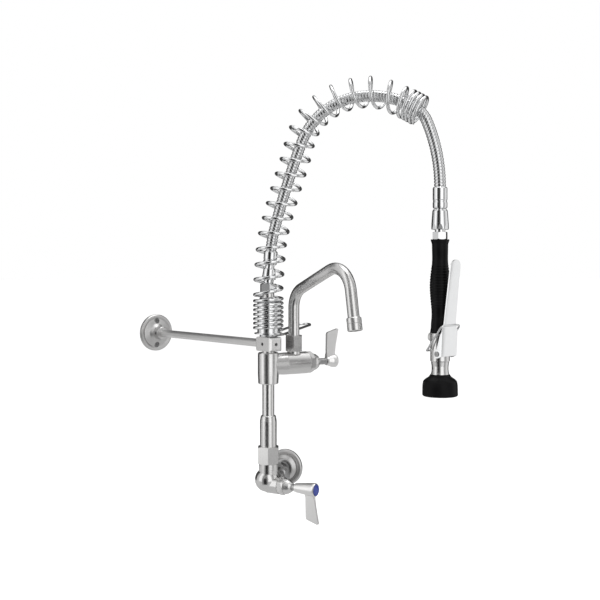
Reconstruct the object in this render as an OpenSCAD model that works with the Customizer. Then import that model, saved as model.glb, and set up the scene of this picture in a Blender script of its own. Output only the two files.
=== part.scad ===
// Pre rinse faucet: wall bracket, pot filler spout and overhead spring hose with a spray valve.
// Millimetres, +Z up, +Y into the wall. The origin is the centre of the wall flange's back face.
// The modules draw on the riser's axis, with the lower valve's ball at the height of zero.

/* [Riser] */
// Outer diameter of the riser pipe
riser_d = 17.1; // [16.5:0.1:17.6]
// Bore of the riser pipe
riser_bore = 12.5; // [11:0.1:13]
// Length of riser that shows between the adjusting bush and the body
riser_show = 45; // [30:1:80]
// Depth to which a pipe is screwed into its socket
screw_depth = 14; // [10:0.5:16]
// Radial gap at a screwed or pushed seat
seat_gap = 0.05; // [0.02:0.01:0.1]
// Radial gap where one piece turns or slides in another
run_gap = 0.06; // [0.03:0.01:0.1]
// Gap between faces that pass each other
face_gap = 0.3; // [0.2:0.05:0.5]

/* [Lower valve] */
// Diameter of the ball-shaped valve body
ball_d = 35; // [32:0.5:40]
// Shift of the ball from the riser's axis, away from the handle
ball_shift = 2; // [0:0.5:3]
// Diameter of the valve's neck
neck_d = 27; // [26.5:0.5:29]
// Height of the neck's top above the ball's centre
neck_top = 22; // [20:0.5:26]
// Bore of the waterways in the valve
water_bore = 10; // [8:0.5:11]
// Length of the screwed spigot above the neck
spigot_h = 11; // [9:0.5:14]
// Distance of the lower valve's handle axis below the ball's centre
valve_drop = 6.5; // [0:0.5:8]
// Plan angle of the lower valve's handle
valve_turn = -70; // [-80:1:-60]
// Distance of the lower valve's bonnet seat from the ball's centre
valve_seat = 20; // [18:0.5:24]

/* [Union] */
// Width across the flats of the riser's union nut
union_af = 29; // [29:0.5:33]
// Height of the union nut
union_h = 25; // [23:0.5:30]
// Radial size of the spigot under the union nut's threads
union_seat_r = 13; // [12.8:0.1:13.1]
// Thickness of the union's washer
washer_t = 2; // [1:0.5:3]
// Thickness of the bush's flange in the union nut
bush_flange_t = 4; // [3:0.5:5]
// Outer diameter of the adjusting bush
bush_d = 24; // [22:0.5:24.5]
// Length of bush that shows above the union nut
bush_show = 44; // [30:1:60]
// Length of the taper at the bush's top
bush_taper = 8; // [4:0.5:12]
// Diameter at the top of the bush's taper
bush_top_d = 21.6; // [20:0.2:22]

/* [Inlet] */
// Plan angle of the inlet from the ball
inlet_turn = 26; // [10:1:30]
// Width across the flats of the inlet nut
inlet_af = 30; // [29.5:0.5:33]
// Distance of the inlet nut's near face from the ball's centre
inlet_nut_s = 24; // [24:0.5:27]
// Length of the inlet nut
inlet_nut_l = 17; // [15:0.5:20]
// Diameter of the inlet's half inch thread
inlet_thread_d = 20.9; // [20:0.1:21]
// Height of the tail's wall end above its nut end
inlet_rise = 7; // [5:0.5:10]
// Distance of the inlet flange's wall face from the ball's centre
inlet_wall_s = 62; // [60:0.5:75]
// Diameter of the inlet flange
inlet_flange_d = 53; // [48:0.5:60]
// Length of thread that goes into the wall
inlet_thread_l = 12; // [10:0.5:20]
// Diameter of the inlet's plain pipe between its knuckle and the wall
inlet_pipe_d = 19.6; // [18.6:0.1:19.8]

/* [Filler body] */
// Diameter of the body's upright barrel
barrel_d = 30; // [29:0.5:34]
// Height of the barrel
barrel_h = 45; // [43:0.5:52]
// Bore of the barrel between its sockets
barrel_bore = 13; // [12:0.5:14]
// Diameter of the side branch
branch_d = 32; // [30:0.5:34]
// Distance of the branch's axis below the barrel's top
branch_drop = 17.5; // [16.5:0.5:20]
// Distance of the branch's end face from the riser's axis
branch_end = 63.5; // [62:0.5:80]
// Plan angle of the branch
branch_turn = -10; // [-15:1:-5]

/* [Spout] */
// Distance of the spout's swivel axis from the riser's axis
spout_offset = 42; // [41:0.5:43]
// Outer diameter of the spout tube
spout_d = 16; // [15:0.1:16.5]
// Wall thickness of the spout tube
spout_wall = 1.2; // [0.9:0.1:1.6]
// Plan angle of the spout as it is stored
spout_turn = -96; // [-110:1:-85]
// Straight length of the spout above its nut
spout_rise = 40; // [34:1:60]
// Centreline radius of the spout's lower bend
spout_low_r = 30; // [24:1:34]
// Slope of the spout's arm above the horizontal
spout_slope = 21; // [15:1:28]
// Straight length of the spout's arm
spout_arm = 75; // [60:1:100]
// Centreline radius of the spout's upper bend
spout_high_r = 36; // [28:1:40]
// Lean of the outlet leg from the upright
spout_lean = 10; // [4:1:14]
// Straight length of the outlet leg above its collar
spout_leg = 36; // [25:1:42]
// Diameter of the spout's swivel boss
boss_d = 19; // [19:0.1:19.4]
// Height of the swivel boss above the branch's axis
boss_h = 31.5; // [29:0.5:33]
// Width across the flats of the spout nut
spout_af = 23.5; // [23.5:0.5:26]
// Height of the spout nut
spout_nut_h = 23; // [22:0.5:25]
// Diameter of the outlet collar
outlet_d = 20.3; // [19.5:0.1:23]
// Length of the outlet collar
outlet_l = 18.3; // [16:0.5:24]

/* [Handles] */
// Start of the lower valve's hub, counted from its bonnet's seat
lower_hub_from = 25; // [24:0.5:29]
// End of the lower valve's hub
lower_hub_to = 58; // [54:0.5:60]
// Start of the filler valve's hub, counted from its bonnet's seat
filler_hub_from = 33; // [25:0.5:33]
// End of the filler valve's hub
filler_hub_to = 49.5; // [49.5:0.5:58]
// Diameter at a hub's inner end
hub_in_d = 12.6; // [12:0.2:14]
// Diameter at a hub's outer end
hub_out_d = 19; // [18:0.5:21]
// Length of a blade from its valve's axis
blade_l = 48; // [42:1:60]
// Thickness of a blade
blade_t = 4; // [3:0.5:5]
// Diameter of a valve spindle
spindle_d = 9.4; // [8.6:0.1:9.6]
// Diameter of an index button
button_d = 16.8; // [15:0.2:17]
// Diameter of the branch's and the valve's cartridge bores
cartridge_d = 18; // [16.5:0.5:18.5]
// Length of a cartridge
cartridge_l = 11; // [9:0.5:12]

/* [Bracket] */
// Distance from the wall to the riser's axis
rod_reach = 304; // [200:1:400]
// Diameter of the bracket's rod
rod_d = 12; // [10:0.5:13]
// Height of the bracket's block
block_h = 20; // [18:0.5:24]
// Width of the bracket's block
block_w = 22; // [21.5:0.5:26]
// Distance of the block's front from the riser's axis
block_front = 18; // [16:0.5:22]
// Distance of the block's rod end from the riser's axis
block_back = 19; // [18:0.5:26]
// Height of the block above the body
block_lift = 2; // [1:0.5:6]
// Diameter of the wall flange
flange_d = 60; // [56:1:70]
// Thickness of a flange at its rim
flange_t = 6; // [5:0.5:8]
// Length of the wall flange's hub from the wall
flange_hub_l = 24; // [20:0.5:32]
// Distance between the wall flange's two screws
wall_screw_pcd = 40; // [36:1:44]
// Shank diameter of a wall screw
wall_screw_d = 4.8; // [4:0.2:5.2]
// Length of a wall screw behind the flange
wall_screw_l = 28; // [20:1:50]

/* [Spray hook] */
// Wire diameter of the spray hook
hook_wire = 3.8; // [3:0.1:4.2]
// Plan angle of the spray hook
hook_turn = 22; // [21:1:30]
// Distance of the hook's end from the riser's axis
hook_l = 118; // [80:1:125]
// Rise of the hook towards its end
hook_rise = 9; // [5:0.5:14]

/* [Overhead spring] */
// Diameter of the spring's wire
spring_wire = 4.6; // [4:0.1:4.8]
// Diameter across the middle of the spring's wire
spring_d = 40; // [38.8:0.2:42]
// Number of close curls at the spring's foot
foot_curls = 7; // [4:1:8]
// Pitch of the close curls at the foot
foot_pitch = 6.4; // [5.8:0.1:7]
// Number of open curls
open_curls = 18; // [12:1:19]
// Pitch of the open curls
open_pitch = 22.8; // [18:0.1:22.8]
// Number of close curls at the spring's upper end
end_curls = 5; // [3:1:6]
// Pitch of the close curls at the upper end
end_pitch = 6.1; // [5.9:0.1:6.6]
// Distance by which the spring stands above the hose over the crown
spring_lift = 5.5; // [0:0.5:6]
// Height of the spring holder's sleeve
holder_h = 43; // [36:1:50]
// Height of the spring holder's cone
holder_cone = 8; // [5:0.5:12]

/* [Hose] */
// Plan angle of the hose's arch
arch_turn = -62; // [-70:1:-55]
// Lean of the lower fittings from the upright
arch_lean = 5; // [3:0.5:6]
// Length of the first bend above the lower fittings
arch_foot_l = 31.5; // [28:0.5:40]
// Turn of the first bend
arch_foot_turn = 10.6; // [9:0.1:12]
// Length of the rising limb
arch_rise_l = 127.6; // [124:0.1:150]
// Turn of the rising limb
arch_rise_turn = 6.5; // [5:0.1:8]
// Length of the crown
arch_crown_l = 99.7; // [96:0.1:110]
// Turn of the crown
arch_crown_turn = 59.1; // [57:0.1:61]
// Length of the falling part in the spring
arch_fall_l = 96.2; // [92:0.1:110]
// Turn of the falling part
arch_fall_turn = 41.8; // [40:0.1:44]
// Length of the sharp bend below the spring's end
arch_bend_l = 24; // [22:0.5:32]
// Turn of the sharp bend
arch_bend_turn = 34.2; // [32:0.1:36]
// Length of the drop above the upper ferrule
arch_drop_l = 90.9; // [86:0.1:110]
// Diameter over the hose's ribs
hose_d = 15.6; // [14.6:0.1:16]
// Bore of the hose
hose_bore = 10; // [8:0.5:11]
// Depth of the grooves between the ribs
rib_depth = 0.9; // [0.5:0.1:1.2]
// Number of ribs
rib_count = 120; // [60:1:130]
// Width across the flats of the hose nut
hose_af = 22; // [21.5:0.5:24]
// Height of the hose nut
hose_nut_h = 13; // [12:0.5:16]
// Diameter of a ferrule
ferrule_d = 19.5; // [18.6:0.1:21]

/* [Spray valve] */
// Plan angle of the trigger
spray_turn = -90; // [-90:90:0]
// Height of the swivel coupling
coupling_h = 27; // [25:0.5:32]
// Diameter at the coupling's top
coupling_top_d = 20.4; // [20:0.2:22]
// Diameter at the coupling's foot
coupling_foot_d = 23.6; // [23:0.2:26]
// Height of the hex collar above the grip
collar_h = 10; // [8:0.5:12]
// Gap that shows between the coupling and the hex collar
collar_gap = 3; // [1:0.5:5]
// Length of the grip
grip_l = 124.5; // [120:1:140]
// Outer diameter of the tube in the grip
grip_tube_d = 14; // [13.2:0.1:14.4]
// Diameter at the grip's belly
belly_d = 27; // [25:0.5:28]
// Number of ribs round the belly
belly_ribs = 16; // [8:1:20]
// Diameter of the spray valve's body
body_d = 26; // [25:0.5:27]
// Height of the body below the grip
body_h = 37.5; // [36:0.5:44]
// Diameter of the body's waist
waist_d = 22.2; // [21.6:0.2:23.4]
// Height of the waist
waist_h = 18; // [14:0.5:24]
// Height of the rubber bumper
bumper_h = 29.2; // [28:0.2:38]
// Diameter of the bumper's foot
bumper_d = 47.5; // [45:0.5:54]
// Diameter of the spray plate
plate_d = 36; // [34:0.5:38]

/* [Trigger] */
// Height of the stem's axis below the grip
stem_drop = 6.5; // [6:0.5:7.5]
// Diameter of the valve stem
stem_d = 4.4; // [4:0.1:5]
// Height of the lever's pin below the grip
pivot_drop = 27.5; // [26:0.5:29]
// Distance of the lever's pin from the spray's axis
pivot_out = 8; // [7:0.5:9]
// Diameter of the lever's pin
pivot_d = 4; // [3.6:0.1:4.4]
// Width over the lever's cheeks
lever_w = 30.4; // [30.4:0.2:33]
// Thickness of the lever's sheet
lever_t = 1.8; // [1.6:0.1:1.8]
// Width of the lever's thumb strip
thumb_w = 19; // [16:0.5:20]
// Height of the lever's tip above its pin
lever_l = 125; // [110:1:130]
// Angle through which the lever is squeezed
squeeze = 4; // [2:0.5:4]
// Wire diameter of the hold-open ring
ring_wire = 2.6; // [2.4:0.1:2.8]

/* [Hidden] */
$fn = 96;

steel = [0.76, 0.76, 0.77];
chrome = [0.84, 0.85, 0.87];
dark_steel = [0.45, 0.44, 0.46];
rubber = [0.07, 0.07, 0.08];
fibre = [0.55, 0.2, 0.15];
ceramic = [0.9, 0.9, 0.86];
button_blue = [0.16, 0.25, 0.62];

// Heights of the stack on the riser, counted from the ball's centre
union_z = neck_top + 1;
spigot_top = neck_top + spigot_h;
bush_z = spigot_top + washer_t;
union_top = union_z + union_h;
bush_top = union_top + bush_show;
barrel_z = bush_top + riser_show;
barrel_top = barrel_z + barrel_h;
branch_z = barrel_top - branch_drop;
block_z = barrel_top + block_lift;
block_top = block_z + block_h;
rod_z = block_z + block_h / 2;
hook_z = block_top + face_gap + hook_wire / 2;
holder_z = hook_z + hook_wire / 2 + face_gap;
holder_foot_t = 1.6;
holder_top = holder_z + holder_foot_t + holder_h + holder_cone;
hose_nut_z = holder_top + 6;
route_z = hose_nut_z + hose_nut_h;
riser_top = hose_nut_z + hose_nut_h - 5;

// The arch is a chain of arcs: [length, turn] from the hose nut to the hose's lower end
tail_h = 6;
coupling_low_h = 16;
ferrule_gap = 5;
lower_ferrule_l = 20;
upper_ferrule_l = 29;
fittings_l = tail_h + coupling_low_h + ferrule_gap + lower_ferrule_l;
arch_drop_turn = 180 - arch_lean - arch_foot_turn - arch_rise_turn - arch_crown_turn - arch_fall_turn
    - arch_bend_turn;
arch_runs = [
    [fittings_l, 0], [arch_foot_l, arch_foot_turn], [arch_rise_l, arch_rise_turn],
    [arch_crown_l, arch_crown_turn], [arch_fall_l, arch_fall_turn], [arch_bend_l, arch_bend_turn],
    [arch_drop_l, arch_drop_turn], [upper_ferrule_l, 0]
];
hose_start = tail_h + coupling_low_h + ferrule_gap + 4;

function run_length(n) = n == 0 ? 0 : run_length(n - 1) + arch_runs[n - 1][0];
function run_heading(n) = n == 0 ? arch_lean : run_heading(n - 1) + arch_runs[n - 1][1];

// Move along one arc from the heading a, by the length l, while it turns by t
function arc_step(a, l, t) = abs(t) < 0.01
    ? l * [sin(a), cos(a)]
    : l * 180 / PI / t * [cos(a) - cos(a + t), sin(a + t) - sin(a)];
function run_start(n) = n == 0
    ? [0, route_z]
    : run_start(n - 1) + arc_step(run_heading(n - 1), arch_runs[n - 1][0], arch_runs[n - 1][1]);

run_count = len(arch_runs);
run_lengths = [for (n = [0:run_count]) run_length(n)];
run_headings = [for (n = [0:run_count]) run_heading(n)];
run_starts = [for (n = [0:run_count]) run_start(n)];

// The run that holds the length s, and how far into it s lies
function run_at(s, n = 0) = n == run_count - 1 || s < run_lengths[n + 1] ? n : run_at(s, n + 1);
function run_share(s, n) = (s - run_lengths[n]) / arch_runs[n][0];

// Point [outward, height] and heading of the arch at the length s; below zero it is the riser's axis
function arch_point(s) = s < 0
    ? [0, route_z + s]
    : let (n = run_at(s), t = run_share(s, n))
      run_starts[n] + arc_step(run_headings[n], t * arch_runs[n][0], t * arch_runs[n][1]);
function arch_heading(s) = s < 0
    ? 0
    : let (n = run_at(s)) run_headings[n] + run_share(s, n) * arch_runs[n][1];

arch_l = run_lengths[run_count];
hose_end = arch_l - 4;
arch_end = arch_point(arch_l);
spray_x = arch_end[0];

// Heights on the spray's axis
coupling_z = arch_end[1] - 1 - coupling_h;
collar_z = coupling_z - collar_gap - collar_h;
grip_z = collar_z - grip_l;
body_z = grip_z - body_h;
waist_z = body_z - waist_h;
bumper_z = waist_z - bumper_h;
stem_z = grip_z - stem_drop;
pivot_z = grip_z - pivot_drop;

// Valve sets
spindle_r = spindle_d / 2;
button_r = button_d / 2;
cartridge_r = cartridge_d / 2;
cone_half = 30;

echo(arch_end = arch_end, holder_top = holder_top, rod_z = rod_z, route_z = route_z, hose_len = hose_end);

// ---- Helpers ----

// Puts a piece drawn on the riser's axis into the part's frame
module place() {
    translate([0, -rod_reach, -rod_z]) children();
}

// A round bar with a bore, from z0 to z1
module tube(d, bore, z0, z1) {
    difference() {
        translate([0, 0, z0]) cylinder(d = d, h = z1 - z0);
        translate([0, 0, z0 - 1]) cylinder(d = bore, h = z1 - z0 + 2);
    }
}

module bar(d, z0, z1) {
    translate([0, 0, z0]) cylinder(d = d, h = z1 - z0);
}

// A hexagon with its corners turned off at both ends
module hex_bar(af, z0, z1, chamfer = 1.2) {
    corner_r = af / 2 / cos(cone_half);
    intersection() {
        translate([0, 0, z0]) cylinder(r = corner_r, h = z1 - z0, $fn = 6);
        rotate_extrude() polygon([
            [0, z0], [af / 2, z0], [corner_r + 0.2, z0 + chamfer], [corner_r + 0.2, z1 - chamfer],
            [af / 2, z1], [0, z1]
        ]);
    }
}

// Turns a piece drawn along +Z so that it lies along +X
module along_x() {
    rotate([0, 90, 0]) children();
}

// A solid of revolution on the Z axis from [radius, height] points
module turned(points) {
    rotate_extrude() polygon(points);
}

// Thickness and bead of the thin seams between the runs of a bent tube or wire
seam_t = 0.1;
seam_bead = 0.02;

// ---- Wall bracket ----

flange_rise = 2.5;
flange_hub_r = 10.5;
rod_seat = 8;

// Dished flange drawn with its back face at z = 0 and its hub towards +Z
module dished_flange(d, hub_r, hub_l) {
    turned([
        [0, 0], [d / 2 - 0.5, 0], [d / 2, 0.8], [d / 2, flange_t - 1.5], [d / 2 - 1.5, flange_t],
        [d / 2 - 4, flange_t], [d / 2 - 7, flange_t - 1.6], [hub_r + 4, flange_t - 1.6 + flange_rise],
        [hub_r, flange_t + flange_rise + 2], [hub_r, hub_l - 1], [hub_r - 1, hub_l], [0, hub_l]
    ]);
}

// Countersunk screw with its flat head at z = 0, pointing down: its thread starts below the plain shank
module countersunk(d, head_r, head_h, plain_l, thread_l) {
    plain_r = d / 2 - 0.3;
    difference() {
        turned([
            [0, -plain_l - thread_l], [d / 2 - 0.6, -plain_l - thread_l],
            [d / 2, -plain_l - thread_l + 1.5], [d / 2, -plain_l], [plain_r, -plain_l],
            [plain_r, -head_h], [head_r, 0], [0, 0]
        ]);
        for (a = [0, 90]) {
            rotate(a) translate([-2.2, -0.5, -1.4]) cube([4.4, 1, 2]);
        }
    }
}

screw_head_r = 4.6;
screw_head_h = 2.6;
screw_sink = 0.4;
screw_seat = flange_t - 1.6;

// Countersunk hole right through the flange, its mouth 6 mm above the screw's seat
module screw_hole(shank_r, head_r) {
    turned([
        [0, -20], [shank_r, -20], [shank_r, -screw_head_h - screw_sink], [head_r, -screw_sink],
        [head_r, 6], [0, 6]
    ]);
}

module at_wall_screws() {
    for (side = [-1, 1]) {
        translate([0, 0, rod_z + side * wall_screw_pcd / 2])
            translate([0, rod_reach, 0]) rotate([90, 0, 0]) translate([0, 0, screw_seat]) children();
    }
}

module wall_flange() {
    color(steel) place() difference() {
        translate([0, rod_reach, rod_z]) rotate([90, 0, 0])
            dished_flange(flange_d, flange_hub_r, flange_hub_l);
        translate([0, rod_reach - rod_seat, rod_z]) rotate([90, 0, 0])
            cylinder(d = rod_d + 2 * seat_gap, h = flange_hub_l);
        at_wall_screws() screw_hole(wall_screw_d / 2 + seat_gap, screw_head_r + seat_gap);
        at_flange_set_screw(0) cylinder(d = set_screw_d + 2 * seat_gap, h = 2 * flange_hub_r);
    }
}

module wall_screws() {
    color(chrome) place() at_wall_screws() translate([0, 0, -screw_sink])
        countersunk(wall_screw_d, screw_head_r, screw_head_h, screw_seat - screw_sink, wall_screw_l);
}

set_screw_d = 5;

module set_screw(l) {
    difference() {
        cylinder(d = set_screw_d, h = l);
        translate([0, 0, l - 2]) cylinder(d = 2.9, h = 3, $fn = 6);
    }
}

module at_flange_set_screw(out) {
    translate([0, rod_reach - flange_hub_l + 6, rod_z]) rotate([0, -90, 0])
        translate([0, 0, out]) children();
}

module flange_set_screw() {
    color(dark_steel) place() at_flange_set_screw(rod_d / 2 + seat_gap)
        set_screw(flange_hub_r - rod_d / 2 - 0.5);
}

module bracket_rod() {
    color(steel) place() translate([0, block_back - rod_seat, rod_z]) rotate([-90, 0, 0])
        cylinder(d = rod_d, h = rod_reach - block_back - face_gap);
}

// Block with its rod end tapered in plan and in elevation, and its front edges rounded
module block_outline(half, taper) {
    polygon([
        [-block_front + 3, -half], [-block_front + 0.9, -half + 0.9], [-block_front, -half + 3],
        [-block_front, half - 3], [-block_front + 0.9, half - 0.9], [-block_front + 3, half],
        [block_back - taper, half], [block_back, half - taper * 0.7], [block_back, -half + taper * 0.7],
        [block_back - taper, -half]
    ]);
}

module bracket_block() {
    color(steel) place() difference() {
        intersection() {
            translate([0, 0, block_z]) linear_extrude(block_h) rotate(90) block_outline(block_w / 2, 5);
            translate([block_w / 2, 0, rod_z]) rotate([90, 0, -90]) linear_extrude(block_w)
                mirror([1, 0]) block_outline(block_h / 2, 6);
        }
        bar(riser_d + 2 * seat_gap, block_z - 1, block_top + 1);
        translate([0, block_back - rod_seat, rod_z]) rotate([-90, 0, 0])
            cylinder(d = rod_d + 2 * seat_gap, h = rod_seat + 1);
        at_block_side() cylinder(d = set_screw_d + 2 * seat_gap, h = 30);
        at_block_front() cylinder(d = set_screw_d + 2 * seat_gap, h = 30);
    }
}

module at_block_side() {
    translate([0, 0, rod_z]) rotate([0, -90, 0]) children();
}

module at_block_front() {
    translate([0, 0, rod_z]) rotate([90, 0, 0]) children();
}

module block_screws() {
    screw_foot = riser_d / 2 + seat_gap;
    color(dark_steel) place() {
        at_block_side() translate([0, 0, screw_foot]) set_screw(block_w / 2 - 0.4 - screw_foot);
        at_block_front() translate([0, 0, screw_foot]) set_screw(block_front - 1 - screw_foot);
    }
}

// ---- Riser and filler body ----

module lower_riser() {
    color(steel) place() tube(riser_d, riser_bore, bush_top - screw_depth * 2, barrel_z + screw_depth);
}

module upper_riser() {
    color(steel) place() tube(riser_d, riser_bore, barrel_top - screw_depth, riser_top);
}

module at_branch() {
    rotate(branch_turn) translate([0, 0, branch_z]) children();
}

spigot_l = 9;
bonnet_bore_d = cartridge_d + 4;

module filler_body() {
    socket_d = riser_d + 2 * seat_gap;
    color(steel) place() difference() {
        union() {
            turned([
                [0, barrel_z], [barrel_d / 2 - 1.5, barrel_z], [barrel_d / 2 - 0.6, barrel_z + 1],
                [barrel_d / 2, barrel_z + 14], [barrel_d / 2, barrel_top - 1.5],
                [barrel_d / 2 - 1.5, barrel_top], [0, barrel_top]
            ]);
            at_branch() along_x() turned([
                [0, 0], [branch_d / 2 - 2, 0], [branch_d / 2, 26], [branch_d / 2, branch_end - 1],
                [branch_d / 2 - 1, branch_end], [0, branch_end]
            ]);
            at_branch() translate([spout_offset, 0, 0]) cylinder(d = boss_d, h = boss_h);
        }
        bar(socket_d, barrel_z - 1, barrel_z + screw_depth);
        bar(socket_d, barrel_top - screw_depth, barrel_top + 1);
        bar(barrel_bore, barrel_z, barrel_top);
        at_branch() along_x() cylinder(d = water_bore, h = branch_end);
        at_branch() along_x() translate([0, 0, branch_end - spigot_l - 0.5])
            cylinder(d = bonnet_bore_d + 2 * seat_gap, h = spigot_l + 2);
        at_branch() along_x() translate([0, 0, branch_end - spigot_l - cartridge_l - 0.8])
            cylinder(d = cartridge_d + 2 * seat_gap, h = cartridge_l + 1);
        at_branch() translate([spout_offset, 0, spout_foot - face_gap])
            cylinder(d = spout_d + 2 * run_gap, h = boss_h + 10);
        at_branch() translate([spout_offset, 0, 0]) cylinder(d = spout_d - 4, h = boss_h + 10);
    }
}

module union_nut() {
    flange_space = union_seat_r + 2 * run_gap;
    color(steel) place() difference() {
        rotate(branch_turn) hex_bar(union_af, union_z, union_top, 1.5);
        translate([0, 0, union_z - 1])
            cylinder(r = flange_space, h = bush_z + bush_flange_t + seat_gap - union_z + 1);
        bar(bush_d + 2 * seat_gap, union_z, union_top + 1);
    }
}

module union_washer() {
    color(fibre) place() tube(2 * union_seat_r, water_bore + 2, spigot_top, bush_z);
}

module adjusting_bush() {
    color(steel) place() difference() {
        turned([
            [0, bush_z], [union_seat_r, bush_z], [union_seat_r, bush_z + bush_flange_t],
            [bush_d / 2, bush_z + bush_flange_t], [bush_d / 2, bush_top - bush_taper],
            [bush_top_d / 2, bush_top - 1], [bush_top_d / 2 - 1, bush_top], [0, bush_top]
        ]);
        bar(riser_d + 2 * seat_gap, bush_top - 2 * screw_depth, bush_top + 1);
        bar(water_bore + 2, bush_z - 1, bush_top);
    }
}

curl_rings = 8;
holder_r = spring_d / 2 * cos(180 / curl_rings) - spring_wire / 2 - face_gap;

module spring_holder() {
    color(steel) place() difference() {
        turned([
            [0, holder_z], [spring_d / 2, holder_z], [spring_d / 2, holder_z + holder_foot_t],
            [holder_r, holder_z + holder_foot_t], [holder_r, holder_top - holder_cone],
            [riser_d / 2 + 3, holder_top], [0, holder_top]
        ]);
        bar(riser_d + 2 * seat_gap, holder_z - 1, holder_top + 1);
    }
}

// ---- Spray hook ----

hook_r = riser_d / 2 + face_gap + hook_wire / 2;
hook_flat = 24;
hook_bend_r = 14;

module wire_section() {
    circle(d = hook_wire, $fn = 32);
}

module wire_seam() {
    along_x() translate([0, 0, -seam_t / 2]) linear_extrude(seam_t)
        circle(d = hook_wire + 2 * seam_bead, $fn = 32);
}

// Wire bent round the riser: two strands that bend up and meet in a half turn at the hook's end
module spray_hook() {
    slope = atan2(hook_rise, hook_l - hook_r - hook_flat);
    strand_l = (hook_l - hook_r - hook_flat - hook_wire / 2) / cos(slope) - hook_bend_r * tan(slope / 2);
    color(chrome) place() translate([0, 0, hook_z]) rotate(hook_turn) {
        rotate(90) rotate_extrude(angle = 180) translate([hook_r, 0]) wire_section();
        for (side = [-1, 1]) {
            translate([0, side * hook_r, 0]) {
                wire_seam();
                along_x() linear_extrude(hook_flat) wire_section();
                translate([hook_flat, 0, 0]) wire_seam();
                translate([hook_flat, 0, hook_bend_r]) rotate([90, 0, 0]) rotate(-90)
                    rotate_extrude(angle = slope) translate([hook_bend_r, 0]) wire_section();
            }
        }
        translate([hook_flat, 0, hook_bend_r]) rotate([0, -slope, 0]) translate([0, 0, -hook_bend_r]) {
            for (side = [-1, 1]) {
                translate([0, side * hook_r, 0]) {
                    wire_seam();
                    along_x() linear_extrude(strand_l) wire_section();
                    translate([strand_l, 0, 0]) wire_seam();
                }
            }
            translate([strand_l, 0, 0]) rotate(-90) rotate_extrude(angle = 180)
                translate([hook_r, 0]) wire_section();
        }
    }
}

// ---- Valve sets: drawn with the bonnet's seat at x = 0, the valve's axis along +X, blade along +Z ----

bonnet_hex_l = 9;
bonnet_l = 20;
cap_l = 5;
screw_r = 2;
screw_hole_l = 8;
handle_head_r = 3.6;
handle_head_h = 2.6;
spindle_in = spigot_l + cartridge_l - 4;
// Distances of the screw's head and the spindle's end from the hub's outer end
screw_head_back = 8;
spindle_back = 9.5;

module bonnet(af, dome_r) {
    difference() {
        along_x() union() {
            cylinder(d = bonnet_bore_d, h = 2 * spigot_l, center = true);
            intersection() {
                cylinder(r = af / 2 / cos(cone_half), h = bonnet_l, $fn = 6);
                turned([
                    [0, 0], [af / 2, 0], [af / 2 + 1.6, 1.5], [af / 2 + 1.6, bonnet_hex_l - 2.5],
                    [af / 2 - 1, bonnet_hex_l], [dome_r, bonnet_hex_l + 1],
                    [dome_r * 0.93, bonnet_hex_l + (bonnet_l - bonnet_hex_l) * 0.4],
                    [dome_r * 0.74, bonnet_hex_l + (bonnet_l - bonnet_hex_l) * 0.75],
                    [spindle_r + 1.4, bonnet_l], [0, bonnet_l]
                ]);
            }
        }
        along_x() translate([0, 0, -spigot_l - 1]) cylinder(d = spindle_d + 2 * run_gap, h = 60);
    }
}

module cartridge() {
    along_x() difference() {
        translate([0, 0, -spigot_l - cartridge_l]) cylinder(d = cartridge_d, h = cartridge_l - 0.2);
        translate([0, 0, -spindle_in - face_gap]) cylinder(d = spindle_d + 2 * run_gap, h = 30);
        translate([0, 0, -spigot_l - cartridge_l - 1]) cylinder(d = water_bore - 4, h = 30);
    }
}

module spindle(hub_to) {
    along_x() difference() {
        bar(spindle_d, -spindle_in, hub_to - spindle_back);
        bar(2 * (screw_r + seat_gap), hub_to - spindle_back - screw_hole_l, hub_to);
    }
}

module handle_screw(hub_to) {
    head_x = hub_to - screw_head_back;
    color(chrome) along_x() difference() {
        union() {
            bar(2 * screw_r, hub_to - spindle_back - screw_hole_l + 1, head_x);
            bar(2 * handle_head_r, head_x, head_x + handle_head_h);
        }
        translate([0, 0, head_x + 1.1]) cylinder(r = 1.5, h = handle_head_h, $fn = 6);
    }
}

// Blade of a handle, [along the hub from its outer end, out from the hub's axis]
module blade_outline() {
    polygon([
        [-16, 3], [-16, 20], [-15.6, blade_l - 8], [-15, blade_l - 6.6], [-13.8, blade_l - 5.4],
        [2.2, blade_l - 0.4], [3.6, blade_l - 0.6], [4, blade_l - 2], [-0.2, 25], [-1.8, 14], [-2.2, 3]
    ]);
}

// Thicker root between the hub and the blade
module root_outline() {
    root = hub_out_d / 2 + 2.4;
    polygon([
        [-16.4, 3], [-16.2, hub_out_d / 2], [-15, root], [-3.6, root], [-2, hub_out_d / 2], [-2, 3]
    ]);
}

module handle(hub_from, hub_to) {
    difference() {
        union() {
            along_x() turned([
                [0, hub_from], [hub_in_d / 2 - 0.6, hub_from], [hub_in_d / 2, hub_from + 0.6],
                [hub_in_d / 2 + 0.3, hub_from + 3], [hub_out_d / 2 - 0.4, hub_to - 7],
                [hub_out_d / 2, hub_to - 4], [hub_out_d / 2, hub_to - 1.2],
                [hub_out_d / 2 - 0.6, hub_to], [0, hub_to]
            ]);
            translate([hub_to, blade_t / 2, 0]) rotate([90, 0, 0]) linear_extrude(blade_t) blade_outline();
            translate([hub_to, blade_t / 2 + 1.2, 0]) rotate([90, 0, 0]) linear_extrude(blade_t + 2.4)
                root_outline();
        }
        along_x() {
            bar(spindle_d + 2 * seat_gap, hub_from - 1, hub_to - spindle_back + 0.2);
            bar(2 * screw_r + 0.6, hub_from, hub_to);
            bar(2 * handle_head_r + 0.6, hub_to - screw_head_back - 0.05, hub_to);
            bar(button_d + 2 * seat_gap, hub_to - cap_l, hub_to + 1);
        }
    }
}

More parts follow.
